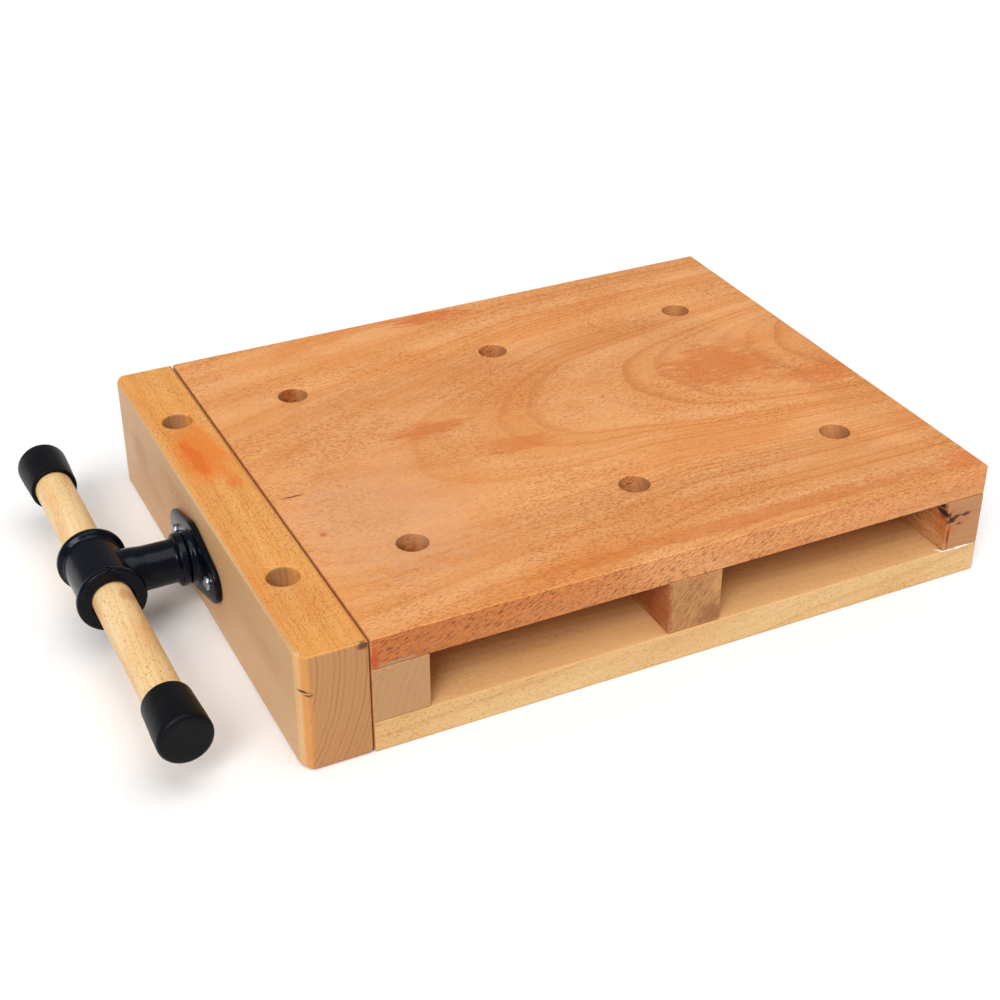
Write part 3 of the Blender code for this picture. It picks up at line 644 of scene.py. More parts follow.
def metal(name, tint, dark, roughness, scratch):
    """Plated or turned metal with fine machining marks and slight tarnish."""
    graph = Graph(name)
    x, y, z = graph.split(graph.place)
    stripes = graph.join(graph.times(x, 5.0), graph.times(y, 0.6), z)
    lines = graph.noise(stripes, scale=1.0, detail=3)
    dull = graph.step(graph.noise(graph.place, scale=0.2, detail=3), 0.42, 0.68)
    colour = graph.mix(graph.times(dull, 0.5), tint, dark)
    graph.base_colour(colour)
    graph.shader.inputs["Metallic"].default_value = 1.0
    graph.roughness(graph.times_plus(lines, 0.2, roughness - 0.1))
    graph.bump(lines, scratch, 0.0002)
    return graph.material


def dried_glue(name):
    """Lumpy, slightly translucent wood glue."""
    graph = Graph(name)
    lumps = graph.noise(graph.place, scale=0.9, detail=3)
    graph.base_colour(graph.mix(lumps, srgb(228, 218, 200), srgb(250, 246, 238)))
    graph.shader.inputs["Roughness"].default_value = 0.4
    graph.shader.inputs["Subsurface Weight"].default_value = 0.15
    graph.shader.inputs["Subsurface Radius"].default_value = (0.002, 0.0016, 0.0012)
    graph.bump(lumps, 0.3, 0.0004)
    return graph.material


def make_materials():
    finish = {}
    jaw_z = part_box("front_jaw")[1][2] * 1000
    top_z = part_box("top_board")[1][2] * 1000
    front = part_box("top_board")[0][1] * 1000
    finish["top"] = wood(
        "oiled_beech_top",
        pith=(12.0, top_z - 108.0),
        drift=(0.22, 35.0),
        taper=0.30,
        taper_reach=(35.0, 150.0),
        ring_width=7.4,
        calm=(-60.0, 50.0, 0.45),
        line_strength=0.50,
        fleck=srgb(186, 106, 52),
        fleck_strength=0.55,
        fleck_cut=(0.50, 0.64),
        fleck_size=(2.5, 0.75),
        end=srgb(198, 138, 88),
        edge=(srgb(192, 110, 50), 70.0, -215.0, 0.12),
        tears={"lean": 27, "length": 5.0, "width": 0.95, "cut": (0.54, 0.61), "colour": srgb(106, 46, 14),
               "until": 60, "rest": 0.30},
        marks=(
            ((128.0, 14.0, top_z), (50.0, 36.0, 14.0), srgb(210, 116, 50), 0.72, 0.9),
            ((185.0, -30.0, top_z), (36.0, 22.0, 14.0), srgb(212, 118, 54), 0.62, 0.9),
            ((-86.0, 17.0, top_z), (34.0, 11.0, 12.0), srgb(210, 116, 50), 0.68, 0.9),
            ((-42.0, -25.0, top_z), (38.0, 13.0, 12.0), srgb(212, 118, 52), 0.60, 0.9),
            ((-22.0, 165.0, top_z), (42.0, 11.0, 14.0), srgb(208, 102, 44), 0.70, 0.8),
            ((40.0, -161.0, top_z), (200.0, 9.0, 8.0), srgb(210, 120, 54), 0.66, 0.7),
            ((-150.0, -70.0, top_z), (74.0, 84.0, 12.0), srgb(222, 166, 122), 0.50, 0.8),
            ((196.0, -160.0, top_z), (18.0, 16.0, 16.0), srgb(218, 112, 48), 0.50, 0.7),
            ((-190.0, -68.0, top_z), (3.8, 3.4, 3.0), srgb(190, 102, 54), 0.70, 0.5),
            ((-192.0, -21.6, top_z), (10.0, 1.1, 2.0), srgb(112, 50, 22), 0.90, 0.3),
            ((-190.0, front, 57.2), (17.0, 4.0, 2.0), srgb(172, 138, 104), 0.85, 0.5),
            ((-203.0, front, 63.0), (3.4, 4.0, 10.0), srgb(186, 74, 30), 0.80, 0.5),
        ),
    )
    finish["jaw"] = wood(
        "oiled_beech_jaw",
        grain="y",
        pith=(-346.0, 68.0),
        taper=0.03,
        ring_width=3.2,
        warp=5.0,
        pale=srgb(236, 171, 97),
        mid=srgb(230, 158, 80),
        deep=srgb(226, 144, 66),
        line=srgb(206, 126, 58),
        line_strength=0.35,
        fleck=srgb(180, 104, 46),
        fleck_strength=0.55,
        end=srgb(190, 138, 89),
        end_line=srgb(156, 104, 60),
        seed=1.0,
        marks=jaw_marks(jaw_z, front),
    )
    finish["bottom"] = wood(
        "bare_beech_bottom",
        pith=(-30.0, -90.0),
        ring_width=5.0,
        pale=srgb(226, 190, 136),
        mid=srgb(219, 179, 122),
        deep=srgb(214, 168, 108),
        line=srgb(198, 144, 88),
        line_strength=0.45,
        fleck=srgb(182, 124, 74),
        fleck_strength=0.36,
        fleck_cut=(0.54, 0.66),
        roughness=0.6,
        seed=2.0,
        tears={"lean": 62, "length": 3.4, "width": 2.0, "cut": (0.65, 0.69), "colour": srgb(176, 90, 42),
               "until": 400, "rest": 0.8},
        marks=(
            # Painted light: a paler band along the front of the bay floor, brightening it against the shade under
            # the top.
            ((0.0, front, 21.0), (420.0, 60.0, 3.0), srgb(232, 182, 122), 0.60, 0.3),
            # Painted shade: the bay floor darkens toward the back, under the top.
            ((0.0, front + 190.0, 21.0), (420.0, 160.0, 3.0), srgb(164, 102, 62), 0.85, 0.2),
        ),
    )
    saw_marks = {"lean": 50, "length": 8.0, "width": 0.9, "cut": (0.54, 0.60), "colour": srgb(126, 78, 40),
                 "until": 400, "rest": 1.0}
    ends = {
        "left": (3.0, srgb(190, 144, 101), srgb(182, 134, 92), (), None),
        "middle": (4.0, srgb(192, 138, 88), srgb(170, 116, 70), middle_spacer_marks(front), saw_marks),
        "right": (5.0, srgb(188, 135, 93), srgb(178, 124, 82), right_spacer_marks(front), None),
    }
    for side, values in ends.items():
        finish[side + "_spacer"] = spacer_wood("bare_beech_" + side, *values)
    finish["bar"] = wood(
        "turned_beech_bar",
        grain="y",
        pith=(-330.0, 20.0),
        ring_width=3.0,
        warp=3.0,
        pale=srgb(243, 214, 164),
        mid=srgb(236, 198, 140),
        deep=srgb(226, 168, 100),
        line=srgb(214, 152, 86),
        line_strength=0.34,
        fleck=srgb(186, 120, 62),
        fleck_strength=0.7,
        fleck_cut=(0.60, 0.70),
        fleck_size=(3.0, 0.7),
        roughness=0.42,
        seed=6.0,
        marks=bar_marks(),
    )
    finish["casting"] = black_paint("black_paint_casting", 0.55, 0.22)
    finish["plate"] = black_paint("black_paint_plate", 0.9, 0.06)
    finish["rubber"] = rubber("black_rubber_cap")
    finish["zinc"] = metal("bright_zinc", srgb(178, 188, 202), srgb(112, 120, 134), 0.22, 0.05)
    finish["steel"] = metal("turned_steel", srgb(188, 188, 190), srgb(120, 118, 116), 0.30, 0.12)
    finish["bronze"] = metal("sintered_bronze", srgb(196, 158, 98), srgb(120, 92, 54), 0.36, 0.10)
    finish["glue"] = dried_glue("dried_glue")
    return finish


def jaw_marks(top, front):
    """Stains, knot, specks and the paler outer face of the jaw, whose tint reaches the top's outer edge strip as a
    painted highlight, pale and orange bands down the rounded front corner, and a dark spot at the upper inner
    front corner; lengths in mm.
    """
    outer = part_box("front_jaw")[0][0] * 1000
    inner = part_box("front_jaw")[1][0] * 1000
    grey_tan = srgb(205, 168, 124)
    return (
        # Paler grey-tan outer face; its soft edge also paints a highlight on the top's outer edge strip.
        ((outer - 1, 0.0, 34.0), (5.0, 700.0, 120.0), grey_tan, 0.80, 0.1),
        ((outer, 122.0, 46.0), (8.0, 24.0, 16.0), srgb(182, 128, 86), 0.42, 0.4),
        ((outer, 100.0, 30.0), (8.0, 40.0, 12.0), srgb(196, 142, 98), 0.40, 0.5),
        ((outer, -20.0, 22.0), (8.0, 60.0, 14.0), srgb(208, 146, 100), 0.50, 0.8),
        ((outer, 30.0, 60.0), (8.0, 50.0, 9.0), srgb(206, 140, 92), 0.50, 0.8),
        ((outer, -110.0, 44.0), (8.0, 50.0, 12.0), srgb(206, 148, 100), 0.45, 0.8),
        ((-225.0, 52.0, top), (20.0, 50.0, 10.0), srgb(233, 130, 46), 0.90, 0.6),
        ((-229.0, 48.0, top), (8.0, 30.0, 8.0), srgb(226, 106, 30), 0.75, 0.8),
        ((-218.0, 10.0, top), (8.0, 10.0, 6.0), srgb(226, 118, 44), 0.65, 0.8),
        # Pale and orange bands down the rounded front-left corner.
        ((outer + 1, front + 6.0, 40.0), (5.0, 4.0, 90.0), srgb(226, 178, 122), 0.80, 0.2),
        ((outer + 5, front + 2.0, 40.0), (5.0, 3.0, 90.0), srgb(214, 146, 76), 0.85, 0.2),
        ((outer + 3, front + 3.0, 53.0), (6.5, 5.0, 1.3), srgb(66, 30, 14), 0.95, 0.35),
        ((outer + 5, front + 1.0, 51.0), (4.0, 3.0, 1.0), srgb(74, 34, 16), 0.90, 0.4),
        # A dark spot at the upper inner front corner of the end face.
        ((inner - 3, front, top - 2), (5.0, 3.0, 3.5), srgb(84, 42, 20), 0.85, 0.35),
        ((outer, 41.0, 59.0), (1.2, 1.0, 1.0), srgb(250, 240, 226), 0.9, 0.2),
        ((outer, -45.0, 56.0), (1.2, 1.1, 1.1), srgb(250, 240, 226), 0.9, 0.2),
    )


def spacer_wood(name, seed, end, end_line, marks, tears):
    return wood(
        name,
        grain="y",
        pith=(40.0 * seed, -60.0),
        ring_width=4.6,
        pale=srgb(222, 170, 118),
        mid=srgb(210, 150, 98),
        deep=srgb(190, 118, 66),
        line=srgb(186, 120, 72),
        end=end,
        end_line=end_line,
        roughness=0.62,
        bump=0.4,
        seed=seed,
        marks=marks,
        tears=tears,
    )


def middle_spacer_marks(front):
    low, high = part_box("middle_spacer")
    left, right = low[0] * 1000, high[0] * 1000
    return (
        ((left, front + 14.0, 38.0), (3.0, 34.0, 30.0), srgb(150, 72, 30), 0.70, 0.5),
        ((right - 6.0, front, 27.0), (12.0, 3.0, 9.0), srgb(142, 92, 50), 0.65, 0.8),
        ((right - 2.0, front, 46.0), (8.0, 3.0, 9.0), srgb(206, 152, 96), 0.55, 0.8),
    )


def right_spacer_marks(front):
    """A dark knot that runs from the inner side face round on to the end grain."""
    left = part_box("right_spacer")[0][0] * 1000
    blue_black = srgb(34, 26, 34)
    return (
        ((left, front + 2.0, 40.0), (7.0, 18.0, 16.0), srgb(190, 104, 48), 0.80, 0.7),
        ((left + 6.0, front, 40.0), (12.0, 3.0, 14.0), srgb(184, 116, 70), 0.60, 0.8),
        ((left, front + 10.0, 51.0), (2.4, 11.0, 2.6), blue_black, 0.95, 0.7),
        ((left, front + 4.0, 46.0), (4.0, 9.0, 4.4), blue_black, 0.95, 0.8),
        ((left + 3.6, front, 43.0), (5.0, 3.0, 4.2), blue_black, 0.95, 0.8),
        ((left + 11.0, front, 44.5), (9.0, 3.0, 1.7), srgb(70, 44, 40), 0.90, 0.9),
        ((left + 9.0, front, 38.5), (6.0, 3.0, 1.4), srgb(84, 50, 40), 0.80, 0.9),
        ((left + 2.0, front, 31.0), (1.7, 3.0, 10.0), srgb(132, 62, 28), 0.88, 0.6),
    )


def bar_marks():
    low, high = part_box("handle_bar")
    x, top = HUB_X * 1000, high[2] * 1000
    return (
        ((x + 6.0, -38.0, top - 3.0), (6.0, 9.0, 8.0), srgb(206, 132, 74), 0.55, 0.7),
        ((x + 9.0, -40.0, top - 10.0), (2.0, 12.0, 2.0), srgb(110, 60, 32), 0.70, 0.6),
        ((x, 30.0, top), (9.0, 12.0, 8.0), srgb(208, 144, 86), 0.50, 0.7),
        ((x, 120.0, top), (14.0, 14.0, 12.0), srgb(222, 164, 98), 0.50, 0.6),
    )


# ---------------------------------------------------------------- wooden pieces

def dog_loops(board):
    return [circle_points(opening_centre(name), DOG_RADIUS) for name in DOG_HOLES[board]]


def make_top_board(finish):
    low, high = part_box("top_board")
    outline = rounded_rectangle(low, high, BOARD_CORNER_RADIUS)
    board = plate("top_board_wood", [outline] + dog_loops("top_board"), low[2], high[2], BOARD_EASE)
    paint(board, finish["top"])
    place_piece(board, "base", "oiled_top_beech", "top_board")


def jaw_plan():
    """Plan of the jaw: rounded outer corners that end in a crisp end-grain edge."""
    low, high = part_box("front_jaw")
    radius = JAW_CORNER_RADIUS
    reach = radius * math.sin(JAW_CORNER_SWEEP)
    angles = [JAW_CORNER_SWEEP * k / JAW_CORNER_STEPS for k in range(JAW_CORNER_STEPS + 1)]
    rear = [(low[0] + radius - radius * math.cos(a), high[1] - reach + radius * math.sin(a)) for a in angles]
    inner_centre = (high[0] - JAW_INNER_ROUND, high[1] - JAW_INNER_ROUND)
    rear += fillet(inner_centre, JAW_INNER_ROUND, 90, 0, 4)
    middle_y = (low[1] + high[1]) / 2
    return rear + [(x, 2 * middle_y - y) for x, y in reversed(rear)]


def round_lower_edge(mesh, inner_x, low_z):
    """Round the long lower edge of the jaw's inner face."""
    radius = JAW_LOWER_ROUND
    builder = bmesh.new()
    builder.from_mesh(mesh)
    planes = [((0, 0, low_z + radius * share), Z_AXIS) for share in (1.0, 0.6)]
    planes += [((inner_x - radius * share, 0, 0), X_AXIS) for share in (1.0, 0.6)]
    for place, direction in planes:
        geometry = list(builder.verts) + list(builder.edges) + list(builder.faces)
        bmesh.ops.bisect_plane(builder, geom=geometry, plane_co=place, plane_no=direction)
    for vertex in builder.verts:
        across = vertex.co.x - (inner_x - radius)
        down = (low_z + radius) - vertex.co.z
        reach = math.hypot(across, down)
        if across > 0 and down > 0 and reach > radius:
            vertex.co.x = inner_x - radius + across * radius / reach
            vertex.co.z = low_z + radius - down * radius / reach
    builder.to_mesh(mesh)
    builder.free()


def make_jaw(finish):
    low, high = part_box("front_jaw")
    jaw = plate("front_jaw_wood", [jaw_plan()] + dog_loops("front_jaw"), low[2], high[2], JAW_EASE)
    round_lower_edge(jaw.data, high[0], low[2])
    washer_radius = size_of("thrust_washer").y / 2 + WASHER_POCKET_CLEARANCE
    bores = [
        ("journal_bore", AXIS_PLACE.y, AXIS_Z, low[0] - CUT_MARGIN, JAW_JOURNAL_BORE),
        ("washer_pocket", AXIS_PLACE.y, AXIS_Z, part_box("thrust_washer")[0][0] - CONTACT_GAP, washer_radius),
    ]
    for row in ROWS:
        rod = "guide_rod_" + row
        centre = centre_of(rod)
        rod_radius = size_of(rod).y / 2 + CONTACT_GAP
        bores.append(("rod_socket_" + row, centre.y, centre.z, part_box(rod)[0][0] - CONTACT_GAP, rod_radius))
    for name, y, z, start, radius in bores:
        boolean(jaw, cylinder(name, (start, y, z), (high[0] + CUT_MARGIN, y, z), radius), "DIFFERENCE")
    apply_modifiers(jaw, 40)
    paint(jaw, finish["jaw"])
    place_piece(jaw, "jaw", "oiled_jaw_beech", "front_jaw")


def make_glue_bead(finish):
    """Dried glue squeezed out under the right spacer's front end."""
    low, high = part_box("right_spacer")
    seam_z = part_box("bottom_board")[1][2]
    left, right, front = low[0] - GLUE_BEAD_OVERRUN, high[0] - GLUE_BEAD_SHORTFALL, low[1]
    builder = bmesh.new()
    rings = []
    steps, sides = GLUE_BEAD_STEPS, GLUE_BEAD_SIDES
    for step in range(steps + 1):
        share = step / steps
        x = left + (right - left) * share
        swell = 0.6 + 0.4 * math.sin(share * 19.0) * math.sin(share * 7.3 + 1.0)
        radius = GLUE_BEAD_RADIUS * swell * math.sin(math.pi * min(max(share, 0.02), 0.98)) ** 0.4
        y = front - 0.0001 if x > low[0] else front + (low[0] - x) * 1.2
        centre = Vector((x, y, seam_z + CONTACT_GAP))
        rings.append([
            builder.verts.new(centre + radius * Vector((0, math.cos(a), 0.8 * math.sin(a))))
            for a in (math.tau * k / sides for k in range(sides))
        ])
    for first, second in zip(rings, rings[1:]):
        for k in range(sides):
            after = (k + 1) % sides
            builder.faces.new((first[k], first[after], second[after], second[k]))
    builder.faces.new(rings[0])
    builder.faces.new(list(reversed(rings[-1])))
    bmesh.ops.recalc_face_normals(builder, faces=builder.faces)
    mesh = mesh_from("glue_bead", builder)
    shade(mesh, 60)
    bead = add_object("glue_bead", mesh)
    paint(bead, finish["glue"])
    place_piece(bead, "base", "pale_beech")


# ---------------------------------------------------------------- hub, flange and screws

def make_hub(finish):
    """The cast hub: bobbin and stem melted together with soft fillets, then bored."""
    size = size_of("handle_hub")
    half = size.y / 2
    rim = size.z / 2
    waist = rim - HUB_WAIST_DEPTH
    stem_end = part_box("handle_hub")[1][0]
    bobbin_half = [(0, 0), (waist, 0)]
    bobbin_half += fillet((waist + HUB_ROOT_ROUND, half - HUB_ROOT_START), HUB_ROOT_ROUND, 180, 118, 5)
    bobbin_half += [(rim, half - HUB_RIM_WIDTH)]
    bobbin_half += fillet((rim - HUB_RIM_ROUND, half - HUB_RIM_ROUND), HUB_RIM_ROUND, 0, 90, 5)
    bobbin_half += [(0, half)]
    profile = [(r, -h) for r, h in reversed(bobbin_half[1:])] + bobbin_half[2:]
    centre = Vector((HUB_X, AXIS_PLACE.y, AXIS_Z))
    hub = lathe("hub_casting", profile, centre, Y_AXIS)
    reach = stem_end - HUB_X
    stem = [*STEM_PROFILE, (STEM_END_RADIUS, reach - 0.0075), (COLLAR_ROOT_RADIUS, reach - 0.0064)]
    stem += fillet((COLLAR_RADIUS - COLLAR_ROUND, reach - 0.0046), COLLAR_ROUND, -80, 0, 3)
    stem += fillet((COLLAR_RADIUS - COLLAR_END_ROUND, reach - COLLAR_END_ROUND), COLLAR_END_ROUND, 0, 90, 3)
    stem += [(0, reach)]
    neck = lathe("hub_neck", stem, centre, X_AXIS)
    boolean(hub, neck, "UNION")
    melt = hub.modifiers.new("melt", "REMESH")
    melt.mode = "VOXEL"
    melt.voxel_size = HUB_VOXEL
    melt.use_smooth_shade = True
    soften = hub.modifiers.new("soften", "SMOOTH")
    soften.factor = 0.6
    soften.iterations = 7
    apply_modifiers(hub, 50)
    boolean(hub, bar_bore(centre, half), "DIFFERENCE")
    socket_start = (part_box("vise_screw")[0][0] - CONTACT_GAP, centre.y, centre.z)
    socket_end = (stem_end + CUT_MARGIN, centre.y, centre.z)
    boolean(hub, cylinder("journal_socket", socket_start, socket_end, HUB_JOURNAL_BORE), "DIFFERENCE")
    grub_centre = centre_of("hub_grub_screw")
    grub_top = grub_centre + Z_AXIS * 2 * CUT_MARGIN
    boolean(hub, cylinder("grub_hole", grub_centre, grub_top, GRUB_HOLE_RADIUS, SMALL_SIDES), "DIFFERENCE")
    apply_modifiers(hub, 45)
    paint(hub, finish["casting"])
    place_piece(hub, "screw", "black_casting", "handle_hub")


def bar_bore(centre, half):
    """Cutter for the bar's bore, flared a little at both mouths."""
    radius = size_of("handle_bar").z / 2 + BAR_CLEARANCE
    mouth = radius + BAR_MOUTH_FLARE
    end = half + BAR_CUTTER_OVERRUN
    upper = [(radius, half - BAR_MOUTH_DEPTH), (mouth, half), (mouth + BAR_CUTTER_SPREAD, end), (0, end)]
    lower = [(r, -h) for r, h in reversed(upper)]
    return lathe("bar_bore", lower + upper, centre, Y_AXIS)


def make_grub_screw(finish):
    centre = centre_of("hub_grub_screw")
    size = size_of("hub_grub_screw")
    radius, length = size.x / 2, size.z
    socket, foot = 0.0008, centre.z - length / 2
    profile = [(0, 0), (radius, 0), (radius, length - 0.0007)]
    profile += fillet((radius - GRUB_RIM_ROUND, length - GRUB_RIM_ROUND), GRUB_RIM_ROUND, 0, 90, 4)
    profile += [(socket, length), (socket, length - 0.0012), (0, length - 0.0015)]
    grub = lathe("grub_screw_fine", profile, (centre.x, centre.y, foot), Z_AXIS, SMALL_SIDES)
    paint(grub, finish["casting"])
    place_piece(grub, "screw", "black_casting", "hub_grub_screw")


def flange_plan():
    """Outline of the two-bolt flange, long axis across: three circles joined by tangents."""
    size = size_of("flange_plate")
    screw_offset = centre_of("flange_screw_rear").y - AXIS_PLACE.y
    middle = size.z / 2
    end = size.y / 2 - screw_offset
    lean = math.degrees(math.asin((middle - end) / screw_offset))
    points = fillet((0, 0), middle, 90 - lean, 90 + lean, 10)
    points += fillet((-screw_offset, 0), end, 90 + lean, 270 - lean, 26)[1:-1]
    return points + [(-u, -v) for u, v in points]


def make_flange(finish):
    """Flange plate with a fillet up to its boss."""
    low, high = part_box("flange_plate")
    flat = plate("flange_casting", [flange_plan()], 0, FLANGE_THICKNESS, FLANGE_EASE)
    # The plan lies in the ground plane: stand it against the jaw's outer face.
    for vertex in flat.data.vertices:
        u, v, w = vertex.co
        vertex.co = (high[0] - w, AXIS_PLACE.y + u, AXIS_Z + v)
    builder = bmesh.new()
    builder.from_mesh(flat.data)
    bmesh.ops.recalc_face_normals(builder, faces=builder.faces)
    builder.to_mesh(flat.data)
    builder.free()
    height = high[0] - low[0]
    radius, root, rim = FLANGE_BOSS_RADIUS, FLANGE_BOSS_ROOT, FLANGE_BOSS_ROUND
    profile = [(0, 0.001), (radius + root, 0.001), (radius + root, FLANGE_THICKNESS)]
    profile += fillet((radius + root, FLANGE_THICKNESS + root), root, 270, 180, 6)[1:]
    profile += fillet((radius - rim, height - rim), rim, 0, 90, 5)
    profile += [(0, height)]
    boss = lathe("flange_boss", profile, (high[0], AXIS_PLACE.y, AXIS_Z), -X_AXIS)
    boolean(flat, boss, "UNION")
    bore_start = (low[0] - CUT_MARGIN, AXIS_PLACE.y, AXIS_Z)
    bore_end = (high[0] + CUT_MARGIN, AXIS_PLACE.y, AXIS_Z)
    boolean(flat, cylinder("flange_bore", bore_start, bore_end, FLANGE_BORE), "DIFFERENCE")
    apply_modifiers(flat, 35)
    paint(flat, finish["plate"])
    place_piece(flat, "jaw", "black_casting", "flange_plate")


def cross_head_screw(node, place, outward, finish):
    """A pan-head screw: domed head with a cross recess, and a tapered point."""
    head, shank, dome = PAN_HEAD_RADIUS, PAN_SHANK_RADIUS, PAN_HEAD_HEIGHT
    tip = -PAN_SCREW_LENGTH
    profile = [(0, tip), (0.0006, tip + 0.001), (shank, tip + 0.007)]
    profile += [(shank, CONTACT_GAP), (head, CONTACT_GAP)]
    profile += fillet((head - PAN_HEAD_ROUND, 0.0012), PAN_HEAD_ROUND, 0, 50, 4)
    profile += [(head * 0.52, dome - 0.00015), (0, dome)]
    screw = lathe(node + "_fine", profile, place, outward, 48)
    for turn in (0, 90):
        bar_place = Vector(place) + Vector(outward) * dome
        boolean(screw, slot_bar(node + "_slot_" + str(turn), bar_place, turn + PAN_SLOT_TURN), "DIFFERENCE")
    apply_modifiers(screw, 35)
    paint(screw, finish["zinc"])
    place_piece(screw, "jaw", "zinc_screws", node)


def slot_bar(name, place, turn):
    """Tapered bar that cuts one arm of a cross recess in a face square to X."""
    builder = bmesh.new()
    bmesh.ops.create_cube(builder, size=1.0)
    depth, width, length = PAN_SLOT_SIZE
    for vertex in builder.verts:
        narrow = PAN_SLOT_TAPER if vertex.co.x > 0 else 1.0
        vertex.co.x *= depth
        vertex.co.y *= width * narrow
        vertex.co.z *= length * narrow
    mesh = mesh_from(name, builder)
    mesh.transform(Euler((math.radians(turn), 0, 0)).to_matrix().to_4x4())
    bar = add_object(name, mesh)
    bar.location = place
    return bar


def make_flange_screws(finish):
    for row in ROWS:
        node = "flange_screw_" + row
        centre = centre_of(node)
        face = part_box(node)[0][0] + PAN_HEAD_HEIGHT
        cross_head_screw(node, (face, centre.y, centre.z), -X_AXIS, finish)


# ---------------------------------------------------------------- screw and handle

def make_vise_screw(finish):
    """The spindle with its real trapezoidal thread, right-handed along +X."""
    low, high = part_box("vise_screw")
    root = size_of("vise_screw").z / 2 - THREAD_DEPTH
    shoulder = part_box("thrust_washer")[1][0] + CONTACT_GAP
    spacing = THREAD_PITCH / THREAD_SAMPLES
    count = int((high[0] - shoulder) / spacing)

    def thread_radius(x, angle):
        share = ((x - shoulder) / THREAD_PITCH - angle / math.tau) % 1.0
        crest = abs(share - 0.5) * 2
        lift = min(max((0.62 - crest) / 0.24, 0.0), 1.0)
        lead_in = min((x - shoulder) / 0.002, (high[0] - x) / 0.0025, 1.0)
        return root + THREAD_DEPTH * lift * max(lead_in, 0.0)

    builder = bmesh.new()
    angles = [math.tau * k / THREAD_SIDES for k in range(THREAD_SIDES)]
    eased = low[0] + JOURNAL_EASE
    plain = ((low[0], JOURNAL_RADIUS - JOURNAL_EASE), (eased, JOURNAL_RADIUS), (shoulder, JOURNAL_RADIUS))
    stations = [(x, [radius] * THREAD_SIDES) for x, radius in (*plain, (shoulder, root))]
    for k in range(1, count + 1):
        x = shoulder + k * spacing
        stations.append((x, [thread_radius(x, a) for a in angles]))
    stations.append((high[0], [root - 0.0008] * THREAD_SIDES))
    rows = [
        [
            builder.verts.new((x, AXIS_PLACE.y + radius * math.cos(a), AXIS_Z + radius * math.sin(a)))
            for a, radius in zip(angles, radii)
        ]
        for x, radii in stations
    ]
    for first, second in zip(rows, rows[1:]):
        for k in range(THREAD_SIDES):
            after = (k + 1) % THREAD_SIDES
            builder.faces.new((first[k], first[after], second[after], second[k]))
    builder.faces.new(rows[0])
    builder.faces.new(list(reversed(rows[-1])))
    bmesh.ops.recalc_face_normals(builder, faces=builder.faces)
    mesh = mesh_from("vise_screw_thread", builder)
    shade(mesh, 40)
    screw = add_object("vise_screw_thread", mesh)
    paint(screw, finish["steel"])
    place_piece(screw, "screw", "bright_steel", "vise_screw")


def make_handle(finish):
    low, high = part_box("handle_bar")
    centre = centre_of("handle_bar")
    radius = size_of("handle_bar").z / 2
    length = high[1] - low[1]
    profile = [(0, 0)] + fillet((radius - BAR_EASE, BAR_EASE), BAR_EASE, -90, 0, 4)
    for k in range(1, BAR_RINGS):
        share = k / BAR_RINGS
        wave = BAR_WAVE * math.sin(share * 41.0) * math.sin(share * 17.0 + 0.7)
        profile.append((radius - BAR_WAVE_DEPTH + wave, length * share))
    profile += fillet((radius - BAR_EASE, length - BAR_EASE), BAR_EASE, 0, 90, 4) + [(0, length)]
    bar = lathe("handle_bar_wood", profile, (centre.x, low[1], centre.z), Y_AXIS)
    paint(bar, finish["bar"])
    place_piece(bar, "handle", "turned_beech", "handle_bar")

    for row, side in (("front", -1), ("rear", 1)):
        make_cap(row, side, finish)


def make_cap(row, side, finish):
    """A rubber cap that flares to its closed end, with a soft edge and a slightly dished end."""
    node = "handle_cap_" + row
    low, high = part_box(node)
    centre = centre_of(node)
    outer = size_of(node).z / 2 - CAP_SKIN
    mouth = outer * CAP_MOUTH_SHARE
    length = high[1] - low[1]
    inner = size_of("handle_bar").z / 2 + CONTACT_GAP
    start = low[1] if side > 0 else high[1]
    profile = [(0, length - CAP_END_WALL), (inner, length - CAP_END_WALL), (inner, CAP_LIP_ROUND)]
    profile += fillet((inner + CAP_LIP_ROUND, CAP_LIP_ROUND), CAP_LIP_ROUND, 180, 270, 3)[1:]
    profile += fillet((mouth - CAP_MOUTH_ROUND, CAP_MOUTH_ROUND), CAP_MOUTH_ROUND, 270, 360, 4)
    profile += [(mouth + (outer - mouth) * 0.35, 0.011), (mouth + (outer - mouth) * 0.8, 0.022)]
    profile += fillet((outer - CAP_END_ROUND, length - CAP_END_ROUND), CAP_END_ROUND, 0, 90, 8)
    profile += [(outer * 0.55, length - 0.0002), (outer * 0.3, length - 0.0004), (0, length - 0.0005)]
    cap = lathe("cap_rubber_" + row, profile, (centre.x, start, centre.z), Y_AXIS * side)
    paint(cap, finish["rubber"])
    place_piece(cap, "handle", "black_rubber", node)


# ---------------------------------------------------------------- kept solids

def dress_kept_solids(finish):
    """Materials for the solids that are shown as they are."""
    kinds = {
        "bottom_board": "bottom",
        "left_spacer": "left_spacer",
        "middle_spacer": "middle_spacer",
        "right_spacer": "right_spacer",
        "screw_nut": "plate",
        "thrust_washer": "bronze",
        "hub_pin": "steel",
    }
    for row in ROWS:
        kinds["guide_rod_" + row] = "steel"
        kinds["rod_pin_" + row] = "steel"
        kinds["nut_screw_" + row] = "zinc"
        for block in ("left", "middle"):
            kinds["{}_bush_{}".format(block, row)] = "bronze"
        for block in ("left", "middle", "right"):
            kinds["board_screw_{}_{}".format(block, row)] = "zinc"
    for node, kind in kinds.items():
        paint(NODES[node], finish[kind])
        shade(NODES[node].data, 35)


# ---------------------------------------------------------------- studio

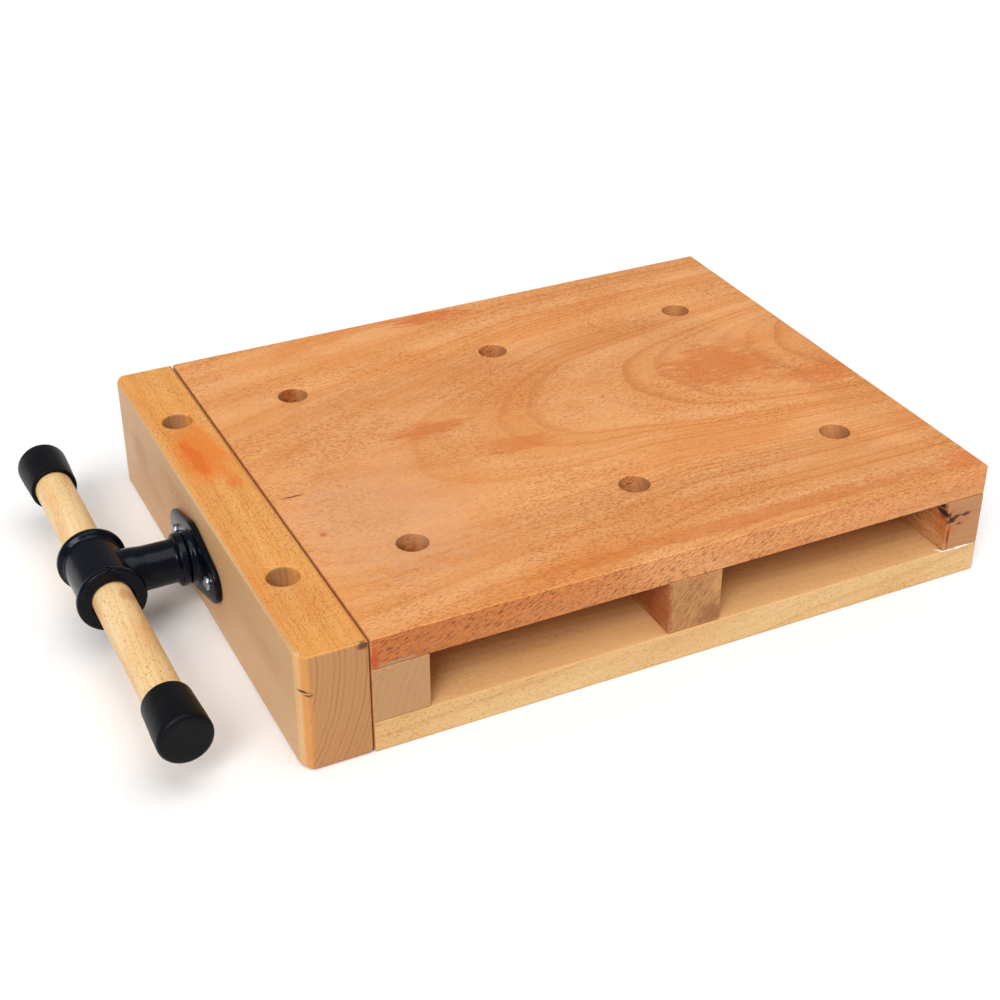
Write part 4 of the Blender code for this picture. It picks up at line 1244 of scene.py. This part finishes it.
def soft_sun(name, azimuth, elevation, spread, strength):
    """A wide soft light from one direction; angles in degrees."""
    lamp = bpy.data.lights.new(name, "SUN")
    lamp.angle = math.radians(spread)
    lamp.energy = strength
    holder = bpy.data.objects.new(name, lamp)
    bpy.context.scene.collection.objects.link(holder)
    holder.rotation_euler = (math.radians(90 - elevation), 0, math.radians(azimuth))


def make_studio():
    builder = bmesh.new()
    bmesh.ops.create_grid(builder, x_segments=1, y_segments=1, size=FLOOR_SIZE)
    floor = add_object("studio_floor", mesh_from("studio_floor", builder))
    floor.location.z = -FLOOR_DROP
    graph = Graph("studio_floor")
    haze = graph.noise(graph.place, scale=0.002, detail=1)
    tint = graph.mix(haze, (0.955, 0.955, 0.955), (0.965, 0.965, 0.965))
    graph.base_colour(tint)
    graph.shader.inputs["Roughness"].default_value = 0.9
    graph.shader.inputs["Specular IOR Level"].default_value = 0.1
    paint(floor, graph.material)

    world = bpy.data.worlds.new("studio")
    world.use_nodes = True
    background = world.node_tree.nodes["Background"]
    background.inputs["Color"].default_value = (1.0, 1.0, 1.0, 1.0)
    background.inputs["Strength"].default_value = WORLD_STRENGTH
    bpy.context.scene.world = world
    soft_sun("key_light", *KEY_LIGHT)
    soft_sun("top_light", *TOP_LIGHT)
    bpy.context.scene.view_settings.view_transform = "Standard"


def make_camera():
    lens = bpy.data.cameras.new("main_camera")
    lens.lens = CAMERA_LENS
    lens.sensor_width = 36
    camera = bpy.data.objects.new("main_camera", lens)
    bpy.context.scene.collection.objects.link(camera)
    camera.location = CAMERA_PLACE
    tilt = math.radians(90 - CAMERA_ELEVATION)
    camera.rotation_euler = (tilt, 0, math.radians(CAMERA_AZIMUTH))
    bpy.context.scene.camera = camera


def main():
    make_camera()
    finish = make_materials()
    make_top_board(finish)
    make_jaw(finish)
    make_glue_bead(finish)
    make_hub(finish)
    make_grub_screw(finish)
    make_flange(finish)
    make_flange_screws(finish)
    make_vise_screw(finish)
    make_handle(finish)
    dress_kept_solids(finish)
    make_studio()


main()
